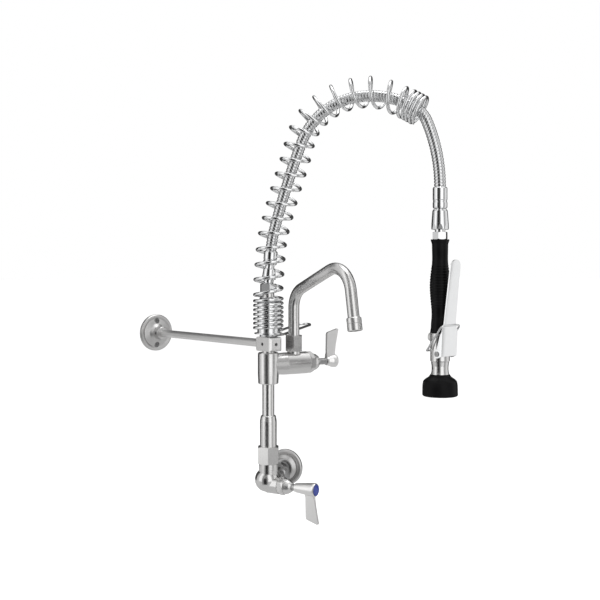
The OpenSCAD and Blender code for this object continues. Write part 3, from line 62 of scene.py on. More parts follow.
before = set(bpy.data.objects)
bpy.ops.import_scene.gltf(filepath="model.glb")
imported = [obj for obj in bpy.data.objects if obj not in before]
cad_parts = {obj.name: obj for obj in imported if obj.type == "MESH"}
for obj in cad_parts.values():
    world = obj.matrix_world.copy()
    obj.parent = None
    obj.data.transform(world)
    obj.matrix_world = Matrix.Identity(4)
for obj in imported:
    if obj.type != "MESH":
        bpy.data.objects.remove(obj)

# ---- The arch and the spray valve, in millimetres ----

MM = 0.001
# Plan angle of the arch's plane, and where height 0 lies on the riser's axis, in metres in the part's frame
ARCH_TURN = math.radians(-62)
RISER_AXIS = np.array([0.0, -0.304, -0.194])
# The arch from the hose nut to the upper ferrule's lower end: its foot's height, its lean there in degrees,
# and its runs as [length, turn in degrees]
ARCH_FOOT = 280.0
ARCH_LEAN = 5.0
ARCH_RUNS = [
    (47, 0),
    (31.5, 10.6),
    (127.6, 6.5),
    (99.7, 59.1),
    (96.2, 41.8),
    (24, 34.2),
    (90.9, 22.8),
    (29, 0),
]
ARCH_LENGTH = sum(length for length, turn in ARCH_RUNS)
# Turn in degrees that stands for none on a straight run, and share of a run that stands for its very start
NO_TURN = 1e-4
NO_SHARE = 1e-9

# Length along the arch where the hose starts, and how far before the arch's end it ends
HOSE_START = 31.0
HOSE_SHORT = 4.0
# Lengths along the arch between which the coil rises off the hose's centre, stays there and comes back
LIFT_LENGTHS = [180, 235, 335, 378]
LIFT_SHARES = [0, 1, 1, 0]
# Curls over which the foot's pitch opens, curls before the open part's end where the pitch starts to widen
# and where it is widest, and curls past that end where it is close wound
OPENS_OVER = 1
WIDENS_AT = 6.5
WIDEST_AT = 1.5
CLOSED_AT = 0.5

# Heights on the spray valve from the arch's end down: the tail that shows, the coupling, the gap under it
# and the hex collar above the grip, then the body and its waist below the grip
TAIL_H = 1.0
COUPLING_H = 27.0
COLLAR_GAP = 3.0
COLLAR_H = 10.0
BODY_H = 37.5
WAIST_H = 18.0
# Stations of the grip above and below its belly: share of the length from its foot, and radius
GRIP_FOOT = [(0, 13.2), (0.07, 12.2), (0.19, 11.3)]
GRIP_BELLY = 0.5
GRIP_HEAD = [(0.8, 10.5), (0.94, 10.8), (1, 12.5)]
# Shares of the grip's length between which it is ribbed, and the rounding of its edges
RIBS_FROM = 0.27
RIBS_TO = 0.72
GRIP_EDGE = 0.8
# Hollow of the bumper: the neck's radius and depth, the bore's radius, the spray plate's radius, and the
# heights of the groove that holds the plate
NECK_RADIUS = 10.05
NECK_DEPTH = 12
BORE_RADIUS = 8.5
PLATE_RADIUS = 18.05
PLATE_FOOT = 9
PLATE_TOP = 11.55
BUMPER_ROUNDING = 1.1

# Points of the grids: along one curl, round the wire and at its rounded ends, along one rib, along the hose's
# bore, round the hose, along the grip, round a turned piece, and on a rounded corner
CURL_ROWS = 44
WIRE_SIDES = 16
END_ROWS = 5
RIB_ROWS = 12
BORE_ROWS = 61
HOSE_SIDES = 32
GRIP_ROWS = 480
TURNED_SIDES = 96
ROUND_STEPS = 6
# Largest share of a side that a rounded corner takes, and distance in metres within which points become one
CORNER_SHARE = 0.45
WELD = 1e-7

# ---- Finishes ----

FINISHES = {
    "satin steel": [
        "bracket_block",
        "upper_riser",
        "lower_riser",
        "filler_body",
        "adjusting_bush",
        "union_nut",
        "spout_nut",
        "spout_tube",
        "outlet_collar",
        "filler_bonnet",
        "filler_cap",
        "valve_bonnet",
    ],
    "ground steel": ["bracket_rod"],
    # The handles take steel painted lighter, as painted light
    "handle steel painted lighter": ["filler_handle", "valve_handle"],
    "flange steel": ["wall_flange", "inlet_flange"],
    "ball steel": ["valve_body", "spray_body", "rear_cap"],
    "chrome": [
        "hose_nut",
        "hose_coupling",
        "lower_ferrule",
        "upper_ferrule",
        "swivel_tail",
        "swivel_coupling",
        "hex_collar",
        "grip_tube",
    ],
    "bright wire": ["spring_holder", "spray_hook", "hold_ring"],
    # The lever takes chrome painted lighter, as painted light
    "bowed chrome painted lighter": ["spray_lever"],
    "dark steel": [
        "inlet_nut",
        "inlet_tail",
        "lever_pin",
        "filler_spindle",
        "valve_spindle",
        "filler_handle_screw",
        "valve_handle_screw",
        "spray_plate",
        "outlet_screen",
        "stem_spring",
        "valve_stem",
        "spout_snap_ring",
    ],
    # The screws take steel painted darker, as painted shade
    "screw steel painted darker": ["wall_screws", "block_screws", "flange_set_screw", "inlet_set_screw"],
    "seal fibre": ["union_washer", "inlet_washer", "swivel_washer", "spout_o_rings"],
    "cartridge ceramic": ["filler_cartridge", "valve_cartridge"],
    "blue button": ["index_button"],
}

# Brushed steels of the steel's and of the dark steel's colour: shares of that colour in the lines' dark and
# light tone, range of roughness, stretch of the noise along x, y and z, its cells per metre before the
# stretch, and height of the lines in metres
STEELS = {
    "satin steel": ((0.98, 1.02), (0.21, 0.25), (1, 1, 26), 60, 1e-6),
    "ground steel": ((1.04, 1.1), (0.3, 0.38), (1, 26, 1), 60, 3e-6),
    # The handles' steel is painted lighter than the rod's: painted light for the bright reflections on the
    # blades
    "handle steel painted lighter": ((1.2, 1.26), (0.26, 0.34), (1, 1, 16), 60, 6e-6),
    "flange steel": ((0.78, 0.87), (0.32, 0.42), (1, 1, 8), 70, 6e-6),
    "ball steel": ((0.9604, 0.9996), (0.15, 0.2), (1, 1, 10), 60, 5e-7),
}
DARK_STEELS = {
    "dark steel": ((0.88, 1.12), (0.16, 0.3), (1, 1, 12), 90, 6e-6),
    # The screws are painted darker: painted shade for the dark gap round their heads
    "screw steel painted darker": ((0.42, 0.6), (0.25, 0.4), (1, 1, 1), 200, 6e-6),
}
# Polished finishes: share of the chrome's colour and range of roughness
POLISHED = {
    "chrome": (1.0, (0.04, 0.1)),
    "bright wire": (0.95, (0.1, 0.2)),
    # The lever's chrome is painted lighter than the rest: painted light for its bright front
    "bowed chrome painted lighter": (1.14, (0.12, 0.2)),
    "spring chrome": (1.0, (0.05, 0.14)),
    "hose metal": (0.86, (0.09, 0.16)),
}
# Polishing lines, all alike: shares of the colour, stretch and cells of the noise, and height as above
POLISH_LINES = (0.94, 1.03)
POLISH_STRETCH = (1, 1, 1)
POLISH_GRAIN = 160
POLISH_HEIGHT = 4e-6
# Roughness that handling marks add to a metal
SMEAR = 0.04
# Rubbers: how much paler their marks are, and range of roughness
RUBBERS = {
    "grip rubber": (2.2, (0.28, 0.36)),
    "bumper rubber": (2.0, (0.36, 0.46)),
}
# Matt inner materials: clean and marked tone, and range of roughness
MATT = {
    "seal fibre": ((0.1, 0.045, 0.03), (0.16, 0.08, 0.06), (0.5, 0.7)),
    "cartridge ceramic": ((0.7, 0.69, 0.64), (0.78, 0.77, 0.73), (0.3, 0.4)),
}
# Shine of rubber and of the matt materials, and the noise cells per metre and height of their moulded grain
RUBBER_SHINE = 0.1
MATT_SHINE = 0.3
MOULD_GRAIN = 1800.0
MOULD_HEIGHT = 3e-5
# The button's edge: shares of the button's half diagonal where it starts and ends, its share of the colour,
# and the button's range of roughness
BUTTON_EDGE = (0.55, 0.66)
BUTTON_EDGE_SHADE = 0.35
BUTTON_ROUGH = (0.18, 0.3)

# ---- Studio ----

# Outlines of the cards that show only in reflections, as [distance from the riser, height] in metres: one
# stands upright, and one goes on over the part and under it
CARD_UPRIGHT = [(1.3, -0.43), (1.3, 1.5)]
CARD_ROUND = [(0.3, -0.43), *CARD_UPRIGHT, (0.95, 1.75), (0.3, 1.9)]
# The camera's bearing, and the cards: bearing from the camera's and half the width, all in degrees, level,
# and whether the card goes on over the part and under it
CAMERA_BEARING = 231.8
CARDS = [
    ("Middle card", 18, 15, 0.02, True),
    ("Shaded card", 41, 8, 0.3, True),
    ("Left soft box", 65, 16, 1.2, False),
    ("Left grey card", 97, 16, 0.7, True),
    ("Left dark card", 147, 34, 0.06, False),
    ("Near grey card", -3, 6, 0.3, True),
    ("Right soft box", -27, 18, 1.3, False),
    ("Right grey card", -58, 13, 0.45, True),
    ("Right pale card", -91, 20, 0.85, False),
    ("Right dark card", -146, 35, 0.06, False),
]
# The level card under the part that gives undersides their grey: height, half the side in metres, and level
UNDER_CARD = (-0.45, 1.6, 0.62)
# Lamps: place, aim and size in metres, and share of the main lamp's power
LAMPS = [
    ("Key lamp", (-1.9, -1.5, 1.5), (0, -0.3, 0.05), (1.3, 1.3), 1.0),
    ("Fill lamp", (1.4, -2.3, 0.6), (0.05, -0.3, 0.05), (1.2, 1.6), 0.45),
    ("Top lamp", (0.2, -0.4, 1.9), (0, -0.3, 0), (1.4, 1.4), 0.5),
]
# The floor: half its side in metres, its colour and roughness, and the level at which it shines where seen
FLOOR_HALF = 30
FLOOR_COLOUR = (0.86, 0.86, 0.86, 1)
FLOOR_ROUGH = 0.9
FLOOR_GLOW = 0.56
# The level camera: place in metres, turn to the right of +Y in degrees, lens in mm and shift
CAMERA_PLACE = (-0.8846, -1.4287, 0.117)
CAMERA_TURN = 40
CAMERA_LENS = 60
CAMERA_SHIFT = -0.0633


# ---- Shapes ----


def arch_at(length):
    """Points [outward, height] in mm and headings in radians at the lengths along the arch.

    Below zero the arch is the upright riser. On an arc of length l that turns by t from the heading a,
    the step is l / t * [cos(a) - cos(a + t), sin(a + t) - sin(a)]. A straight run turns by next to nothing.
    """
    length = np.asarray(length, float)
    run = np.array(ARCH_RUNS, float)
    run_l = run[:, 0]
    run_t = np.radians(np.where(run[:, 1] == 0, NO_TURN, run[:, 1]))
    start_s = np.concatenate([[0], np.cumsum(run_l)])
    start_a = math.radians(ARCH_LEAN) + np.concatenate([[0], np.cumsum(run_t)])

    def step(a, span, t):
        r = span / t
        return np.stack([r * (np.cos(a) - np.cos(a + t)), r * (np.sin(a + t) - np.sin(a))], -1)

    ends = np.cumsum(step(start_a[:-1], run_l, run_t), axis=0)
    start_p = np.concatenate([[[0, 0]], ends]) + [0, ARCH_FOOT]
    n = np.clip(np.searchsorted(start_s, length, side="right") - 1, 0, len(run) - 1)
    share = (length - start_s[n]) / run_l[n]
    part = np.where(share == 0, NO_SHARE, share)
    point = start_p[n] + step(start_a[n], part * run_l[n], part * run_t[n])
    heading = start_a[n] + share * run_t[n]
    below = length < 0
    upright = np.stack([np.zeros_like(length), ARCH_FOOT + length], -1)
    return np.where(below[..., None], upright, point), np.where(below, 0, heading)


def in_frame(outward, across, height):
    """Points in metres in the part's frame, from mm in the arch's upright plane through the riser."""
    c, s = math.cos(ARCH_TURN), math.sin(ARCH_TURN)
    flat = np.stack([outward * c - across * s, outward * s + across * c, height], -1) * MM
    return flat + RISER_AXIS


def on_arch(length, radius, angle):
    """Points at the radius and the angle round the arch's centreline, where angle 0 points outward."""
    point, heading = arch_at(length)
    out = radius * np.cos(angle)
    return in_frame(
        point[..., 0] + out * np.cos(heading),
        radius * np.sin(angle),
        point[..., 1] - out * np.sin(heading),
    )


def new_object(name, data):
    """An object of the data in the scene's own collection."""
    made = bpy.data.objects.new(name, data)
    bpy.context.scene.collection.objects.link(made)
    return made


def plain_mesh(name, corners, faces):
    """A mesh object of the corners and faces as they are."""
    mesh = bpy.data.meshes.new(name)
    mesh.from_pydata(corners, [], faces)
    return new_object(name, mesh)


def surface(name, points, close_rows=False):
    """A mesh from a grid of points [rows, columns, 3] whose columns go round.

    The rows may go round too. Where they don't, each end row may be a single point.
    """
    rows, cols = points.shape[:2]
    index = np.arange(rows * cols).reshape(rows, cols)
    upper = np.roll(index, -1, axis=0) if close_rows else index[1:]
    lower = index if close_rows else index[:-1]
    faces = np.stack([lower, upper, np.roll(upper, -1, axis=1), np.roll(lower, -1, axis=1)], -1)
    piece = plain_mesh(name, points.reshape(-1, 3).tolist(), faces.reshape(-1, 4).tolist())
    mesh = piece.data
    work = bmesh.new()
    work.from_mesh(mesh)
    bmesh.ops.remove_doubles(work, verts=work.verts, dist=WELD)
    bmesh.ops.recalc_face_normals(work, faces=work.faces)
    work.to_mesh(mesh)
    work.free()
    mesh.validate()
    mesh.shade_smooth()
    return piece


def round_profile(corners, radius):
    """A closed outline of [radius, height] corners in mm, each corner rounded off by a quadratic curve.

    The curve from a to b by way of the corner c is (1 - u)^2 a + 2 u (1 - u) c + u^2 b, where a and b lie
    the radius away from c on its two sides, or at CORNER_SHARE of a short side.
    """
    corner = np.array(corners, float)
    before, after = np.roll(corner, 1, axis=0) - corner, np.roll(corner, -1, axis=0) - corner
    lb = np.linalg.norm(before, axis=1, keepdims=True)
    la = np.linalg.norm(after, axis=1, keepdims=True)
    a = corner + before / lb * np.minimum(radius, CORNER_SHARE * lb)
    b = corner + after / la * np.minimum(radius, CORNER_SHARE * la)
    u = np.linspace(0, 1, ROUND_STEPS)[None, :, None]
    curve = (1 - u) ** 2 * a[:, None] + 2 * u * (1 - u) * corner[:, None] + u**2 * b[:, None]
    return curve.reshape(-1, 2)


def turned(name, outline):
    """A closed surface of revolution on the spray valve's axis from [radius, height] points in mm."""
    around = np.linspace(0, 2 * math.pi, TURNED_SIDES, endpoint=False)
    r, z = outline[:, 0, None], outline[:, 1, None]
    axis = float(arch_at(ARCH_LENGTH)[0][0])
    points = in_frame(axis + r * np.cos(around), r * np.sin(around), z + 0 * around)
    return surface(name, points, close_rows=True)


def grip_foot(scene):
    """Height in mm of the grip's foot."""
    arch_end = float(arch_at(ARCH_LENGTH)[0][1])
    return arch_end - TAIL_H - COUPLING_H - COLLAR_GAP - COLLAR_H - scene.faucet_grip.length


def bumper_foot(scene):
    """Height in mm of the bumper's foot."""
    return grip_foot(scene) - BODY_H - WAIST_H - scene.faucet_bumper.height


# ---- Materials ----


def add(tree, kind, place, values=None, **settings):
    """A node of the kind at the place, with its settings and the values of its inputs by name or number."""
    made = tree.nodes.new(kind)
    made.location = place
    for key, value in settings.items():
        setattr(made, key, value)
    for key, value in (values or {}).items():
        made.inputs[key].default_value = value
    return made


def new_group(name, inputs, outputs):
    """An empty shader node group with named sockets: (name, kind, default)."""
    tree = bpy.data.node_groups.new(name, "ShaderNodeTree")
    for direction, sockets in (("INPUT", inputs), ("OUTPUT", outputs)):
        for label, kind, default in sockets:
            made = tree.interface.new_socket(label, in_out=direction, socket_type=kind)
            if default is not None:
                made.default_value = default
    return tree, add(tree, "NodeGroupInput", (-900, 0)), add(tree, "NodeGroupOutput", (700, 0))


def brush_lines(name):
    """Fine brush lines, as noise on coordinates that are squeezed hard along one direction."""
    tree, start, end = new_group(
        name,
        [("Vector", "NodeSocketVector", None), ("Line size", "NodeSocketFloat", 900.0)],
        [("Lines", "NodeSocketFloat", None)],
    )
    lines = add(tree, "ShaderNodeTexNoise", (-500, 200), {"Detail": 4.0, "Roughness": 0.7})
    tree.links.new(start.outputs["Vector"], lines.inputs["Vector"])
    tree.links.new(start.outputs["Line size"], lines.inputs["Scale"])
    tree.links.new(lines.outputs["Fac"], end.inputs["Lines"])
    return tree


def handling_marks(name):
    """Handling marks: soft clouds with a few fine specks on them, from 0 (clean) to 1 (marked)."""
    tree, start, end = new_group(
        name,
        [("Vector", "NodeSocketVector", None), ("Size", "NodeSocketFloat", 45.0)],
        [("Marks", "NodeSocketFloat", None)],
    )
    clouds = add(tree, "ShaderNodeTexNoise", (-600, 150), {"Detail": 5.0})
    soft = add(tree, "ShaderNodeMapRange", (-350, 150), {"From Min": 0.42, "From Max": 0.7})
    specks = add(tree, "ShaderNodeTexVoronoi", (-600, -150), {"Scale": 700.0})
    near = add(tree, "ShaderNodeMapRange", (-350, -150), {"From Max": 0.12, "To Min": 1.0, "To Max": 0.0})
    both = add(tree, "ShaderNodeMath", (-100, 0), operation="MAXIMUM")
    tree.links.new(start.outputs["Vector"], clouds.inputs["Vector"])
    tree.links.new(start.outputs["Size"], clouds.inputs["Scale"])
    tree.links.new(start.outputs["Vector"], specks.inputs["Vector"])
    tree.links.new(clouds.outputs["Fac"], soft.inputs["Value"])
    tree.links.new(specks.outputs["Distance"], near.inputs["Value"])
    tree.links.new(soft.outputs["Result"], both.inputs[0])
    tree.links.new(near.outputs["Result"], both.inputs[1])
    tree.links.new(both.outputs["Value"], end.inputs["Marks"])
    return tree


SHARED = {"Brush lines": brush_lines, "Handling marks": handling_marks}


def shared(tree, place, name, vector, values=None):
    """A node of the shared group of that name, fed with the coordinates. The first one builds the group."""
    group = bpy.data.node_groups.get(name) or SHARED[name](name)
    made = add(tree, "ShaderNodeGroup", place, values, node_tree=group)
    tree.links.new(vector, made.inputs["Vector"])
    return made


def start_material(name):
    """A material with its Principled shader, output and Object coordinates."""
    made = bpy.data.materials.new(name)
    made.use_nodes = True
    tree = made.node_tree
    tree.nodes.clear()
    shader = add(tree, "ShaderNodeBsdfPrincipled", (300, 0))
    output = add(tree, "ShaderNodeOutputMaterial", (600, 0))
    tree.links.new(shader.outputs["BSDF"], output.inputs["Surface"])
    where = add(tree, "ShaderNodeTexCoord", (-1300, 0))
    return made, tree, shader, where.outputs["Object"]


def spread(tree, value, low, high, place):
    """The value from 0 to 1 spread over the range from low to high."""
    made = add(tree, "ShaderNodeMapRange", place, {"To Min": low, "To Max": high})
    tree.links.new(value, made.inputs["Value"])
    return made.outputs["Result"]


def two_tones(tree, value, dark, light, place):
    """A colour between the two by the value."""
    made = add(tree, "ShaderNodeMix", place, data_type="RGBA")
    sockets = {socket.identifier: socket for socket in (*made.inputs, *made.outputs)}
    sockets["A_Color"].default_value = (*dark, 1)
    sockets["B_Color"].default_value = (*light, 1)
    tree.links.new(value, sockets["Factor_Float"])
    return sockets["Result_Color"]


def bumped(tree, shader, height, distance):
    """A bump of the height, times the distance in metres, feeds the shader's normal."""
    made = add(tree, "ShaderNodeBump", (50, -350), {"Strength": 1.0, "Distance": distance})
    tree.links.new(height, made.inputs["Height"])
    tree.links.new(made.outputs["Normal"], shader.inputs["Normal"])


def shade(colour, share):
    """The colour times the share, as a plain tuple."""
    return tuple(min(1.0, c * share) for c in colour)


def metal(name, colour, tones, rough, stretch, grain, height):
    """Metal whose brush lines run across the direction of the largest stretch."""
    made, tree, shader, where = start_material(name.capitalize())
    place = add(tree, "ShaderNodeMapping", (-1100, 0), {"Scale": stretch})
    tree.links.new(where, place.inputs["Vector"])
    brush = shared(tree, (-850, 100), "Brush lines", place.outputs["Vector"], {"Line size": grain})
    marks = shared(tree, (-850, -200), "Handling marks", where)
    dark, light = (shade(colour, share) for share in tones)
    tone = two_tones(tree, brush.outputs["Lines"], dark, light, (-300, 200))
    tree.links.new(tone, shader.inputs["Base Color"])
    both = add(tree, "ShaderNodeMath", (-300, -100), operation="ADD")
    tree.links.new(spread(tree, brush.outputs["Lines"], *rough, (-550, -50)), both.inputs[0])
    tree.links.new(spread(tree, marks.outputs["Marks"], 0.0, SMEAR, (-550, -300)), both.inputs[1])
    tree.links.new(both.outputs["Value"], shader.inputs["Roughness"])
    shader.inputs["Metallic"].default_value = 1.0
    bumped(tree, shader, brush.outputs["Lines"], height)
    return made


def polished(name):
    """Polished metal with faint polishing lines and handling marks."""
    share, rough = POLISHED[name]
    colour = shade(bpy.context.scene.faucet_finish.chrome, share)
    return metal(name, colour, POLISH_LINES, rough, POLISH_STRETCH, POLISH_GRAIN, POLISH_HEIGHT)


def matt(name, clean, marked, rough, shine):
    """Rubber, fibre or ceramic with a fine moulded grain and soft paler patches."""
    made, tree, shader, where = start_material(name.capitalize())
    grain = add(tree, "ShaderNodeTexNoise", (-850, 200), {"Scale": MOULD_GRAIN, "Detail": 3.0})
    tree.links.new(where, grain.inputs["Vector"])
    marks = shared(tree, (-850, -150), "Handling marks", where)
    tone = two_tones(tree, marks.outputs["Marks"], clean, marked, (-300, 200))
    tree.links.new(tone, shader.inputs["Base Color"])
    tree.links.new(spread(tree, grain.outputs["Fac"], *rough, (-550, -50)), shader.inputs["Roughness"])
    shader.inputs["Specular IOR Level"].default_value = shine
    bumped(tree, shader, grain.outputs["Fac"], MOULD_HEIGHT)
    return made


def black_rubber(name):
    """The grip's or the bumper's black rubber."""
    paler, rough = RUBBERS[name]
    black = bpy.context.scene.faucet_finish.black
    return matt(name, black, shade(black, paler), rough, RUBBER_SHINE)


def bow(made, box, turn, radius):
    """Bends the material's shading of a flat sheet as if it were bowed across the direction of the turn.

    The height is -d^2 / (2 radius), where d is the distance in metres from the middle of the box. It takes
    the place of the height of the polishing lines.
    """
    tree = made.node_tree
    shader = next(node for node in tree.nodes if node.bl_idname == "ShaderNodeBsdfPrincipled")
    where = next(node for node in tree.nodes if node.bl_idname == "ShaderNodeTexCoord")
    tree.nodes.remove(shader.inputs["Normal"].links[0].from_node)
    lo, hi = (np.array(c) for c in box)
    across = add(tree, "ShaderNodeVectorMath", (-700, -500), {1: (lo + hi) / 2}, operation="SUBTRACT")
    tree.links.new(where.outputs["Object"], across.inputs[0])
    direction = (math.cos(turn), math.sin(turn), 0)
    along = add(tree, "ShaderNodeVectorMath", (-500, -500), {1: direction}, operation="DOT_PRODUCT")
    tree.links.new(across.outputs["Vector"], along.inputs[0])
    square = add(tree, "ShaderNodeMath", (-300, -500), operation="MULTIPLY")
    tree.links.new(along.outputs["Value"], square.inputs[0])
    tree.links.new(along.outputs["Value"], square.inputs[1])
    height = add(tree, "ShaderNodeMath", (-120, -500), {1: -1 / (2 * radius)}, operation="MULTIPLY")
    tree.links.new(square.outputs["Value"], height.inputs[0])
    bumped(tree, shader, height.outputs["Value"], 1.0)


def dress(finish, made):
    """Gives the CAD pieces of the finish their material."""
    for name in FINISHES[finish]:
        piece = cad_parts[name]
        piece.data.materials.clear()
        piece.data.materials.append(made)


def finish_of(piece, made, body):
    """Gives a new piece its material and the body that it moves with."""
    piece.data.materials.clear()
    piece.data.materials.append(made)
    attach(piece, body)


# ---- Settings ----


class SpringSettings(bpy.types.PropertyGroup):
    """Sizes of the overhead spring, in millimetres."""

    wire: bpy.props.FloatProperty(name="Wire", description="Diameter of the spring's wire in mm", default=4.6)
    coil: bpy.props.FloatProperty(
        name="Coil", description="Diameter of the coil at the wire's centre in mm", default=39.4
    )
    foot_curls: bpy.props.IntProperty(name="Foot curls", description="Close curls at the foot", default=7)
    open_curls: bpy.props.IntProperty(name="Open curls", description="Curls of the open part", default=19)
    end_curls: bpy.props.IntProperty(name="End curls", description="Close curls at the upper end", default=4)
    foot_pitch: bpy.props.FloatProperty(
        name="Foot pitch", description="Advance of a close curl at the foot in mm", default=6.4
    )
    open_pitch: bpy.props.FloatProperty(
        name="Open pitch", description="Advance of an open curl on the rise in mm", default=21.5
    )
    fall_pitch: bpy.props.FloatProperty(
        name="Fall pitch", description="Advance of the widest curl, past the crown, in mm", default=26.0
    )
    end_pitch: bpy.props.FloatProperty(
        name="End pitch", description="Advance of a close curl at the upper end in mm", default=5.8
    )
    lift: bpy.props.FloatProperty(
        name="Lift",
        description="Height of the coil's centre above the hose's at the crown in mm",
        default=5.5,
    )
    straight: bpy.props.FloatProperty(
        name="Straight", description="Length along the arch in mm where the coil stops bending", default=396.0
    )
    start: bpy.props.FloatProperty(
        name="Start", description="Height of the first curl from the hose nut's top in mm", default=-66.6
    )


class HoseSettings(bpy.types.PropertyGroup):
    """Sizes of the ribbed hose, in millimetres."""

    diameter: bpy.props.FloatProperty(name="Diameter", description="Outer diameter in mm", default=15.6)
    bore: bpy.props.FloatProperty(name="Bore", description="Diameter of the waterway in mm", default=10.0)
    ribs: bpy.props.IntProperty(name="Ribs", description="Number of ribs over the whole hose", default=120)
    depth: bpy.props.FloatProperty(name="Rib depth", description="Depth between the ribs in mm", default=0.8)
    groove: bpy.props.FloatProperty(
        name="Groove", description="Half the width of a groove as a share of a rib", default=0.12
    )
    crown: bpy.props.FloatProperty(name="Crown", description="Crown of a rib in mm", default=0.06)


class GripSettings(bpy.types.PropertyGroup):
    """Sizes of the rubber grip, in millimetres."""

    length: bpy.props.FloatProperty(name="Length", description="Length of the grip in mm", default=124.5)
    belly: bpy.props.FloatProperty(name="Belly", description="Diameter at the middle in mm", default=27.0)
    bore: bpy.props.FloatProperty(name="Bore", description="Diameter of the tube inside in mm", default=14.1)
    ribs: bpy.props.IntProperty(name="Ribs", description="Number of ribs round the belly", default=16)
    rib_out: bpy.props.FloatProperty(name="Rib height", description="Height of a rib in mm", default=0.4)


class BumperSettings(bpy.types.PropertyGroup):
    """Sizes of the rubber bumper, in millimetres."""

    diameter: bpy.props.FloatProperty(name="Diameter", description="Largest diameter in mm", default=47.5)
    height: bpy.props.FloatProperty(name="Height", description="Height of the bumper in mm", default=29.2)
    mouth: bpy.props.FloatProperty(name="Mouth", description="Diameter of the open mouth in mm", default=32.0)
    top: bpy.props.FloatProperty(name="Top", description="Radius of the top's collar in mm", default=13.6)


class FinishSettings(bpy.types.PropertyGroup):
    """Colours of the finishes, and the bow of the lever's shading."""

    steel: bpy.props.FloatVectorProperty(
        name="Steel", description="Satin steel", subtype="COLOR", default=(0.71, 0.705, 0.7)
    )
    chrome: bpy.props.FloatVectorProperty(
        name="Chrome", description="Polished chrome", subtype="COLOR", default=(0.82, 0.825, 0.83)
    )
    dark: bpy.props.FloatVectorProperty(
        name="Dark steel", description="Unpolished steel", subtype="COLOR", default=(0.42, 0.42, 0.42)
    )
    black: bpy.props.FloatVectorProperty(
        name="Rubber", description="Black rubber", subtype="COLOR", default=(0.003, 0.003, 0.0033)
    )
    blue: bpy.props.FloatVectorProperty(
        name="Button", description="Blue index button", subtype="COLOR", default=(0.03, 0.055, 0.34)
    )
    lever_turn: bpy.props.FloatProperty(
        name="Lever turn",
        description="Plan angle across the lever",
        subtype="ANGLE",
        default=ARCH_TURN + math.pi / 2,
    )
    lever_bow: bpy.props.FloatProperty(
        name="Lever bow", description="Radius of the bow in the lever's shading", default=0.08, unit="LENGTH"
    )


class StageSettings(bpy.types.PropertyGroup):
    """The plain studio."""

    floor_drop: bpy.props.FloatProperty(
        name="Floor", description="Drop of the floor below the part", default=0.25, unit="LENGTH"
    )
    world: bpy.props.FloatProperty(
        name="World", description="Strength of the white world on the part", default=0.55
    )
    key: bpy.props.FloatProperty(name="Key", description="Power of the main lamp in watts", default=22.0)


GROUPS = {
    "faucet_spring": SpringSettings,
    "faucet_hose": HoseSettings,
    "faucet_grip": GripSettings,
    "faucet_bumper": BumperSettings,
    "faucet_finish": FinishSettings,
    "faucet_stage": StageSettings,
}


# ---- Pieces ----


class FAUCET_OT_spring(bpy.types.Operator):
    """Winds the overhead spring round the arch.

    The advance per curl goes in a straight line from one stage to the next, and its running sum is the
    length along the arch. The wire's centre turns by 2 pi in each curl, and past the straight length the
    coil keeps its heading while the hose bends on inside it.
    """

    bl_idname = "faucet.spring"
    bl_label = "Overhead Spring"

    def execute(self, context):
        s = context.scene.faucet_spring
        opened = s.foot_curls + s.open_curls
        curl = np.arange((opened + s.end_curls) * CURL_ROWS + 1) / CURL_ROWS
        stages = [
            (s.foot_curls, s.foot_pitch),
            (s.foot_curls + OPENS_OVER, s.open_pitch),
            (opened - WIDENS_AT, s.open_pitch),
            (opened - WIDEST_AT, s.fall_pitch),
            (opened + CLOSED_AT, s.end_pitch),
        ]
        at_curl, advance = zip(*stages)
        pitch = np.interp((curl[1:] + curl[:-1]) / 2, at_curl, advance)
        length = s.start + np.concatenate([[0], np.cumsum(pitch / CURL_ROWS)])
        lift = s.lift * np.interp(length, LIFT_LENGTHS, LIFT_SHARES)
        point, heading = arch_at(np.minimum(length, s.straight))
        beyond = np.maximum(length - s.straight, 0)
        middle_x = point[:, 0] - lift * np.cos(heading) + beyond * np.sin(heading)
        middle_z = point[:, 1] + lift * np.sin(heading) + beyond * np.cos(heading)
        out = s.coil / 2 * np.cos(2 * math.pi * curl)
        over = s.coil / 2 * np.sin(2 * math.pi * curl)
        centre = in_frame(middle_x, 0 * length, middle_z)
        wire = in_frame(middle_x + out * np.cos(heading), over, middle_z - out * np.sin(heading))

        run = np.gradient(wire, axis=0)
        run /= np.linalg.norm(run, axis=1, keepdims=True)
        side = np.cross(run, wire - centre)
        side /= np.linalg.norm(side, axis=1, keepdims=True)
        outward = np.cross(side, run)
        rounding = np.sin(np.linspace(0, math.pi / 2, END_ROWS))
        size = np.ones(len(curl))
        size[:END_ROWS] = rounding
        size[-END_ROWS:] = rounding[::-1]
        around = np.linspace(0, 2 * math.pi, WIRE_SIDES, endpoint=False)[None, :, None]
        ring = np.cos(around) * outward[:, None] + np.sin(around) * side[:, None]
        grid = wire[:, None] + s.wire / 2 * MM * size[:, None, None] * ring
        piece = surface("overhead_spring_wire", grid)
        finish_of(piece, polished("spring chrome"), "overhead")
        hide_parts("overhead_spring")
        return {"FINISHED"}


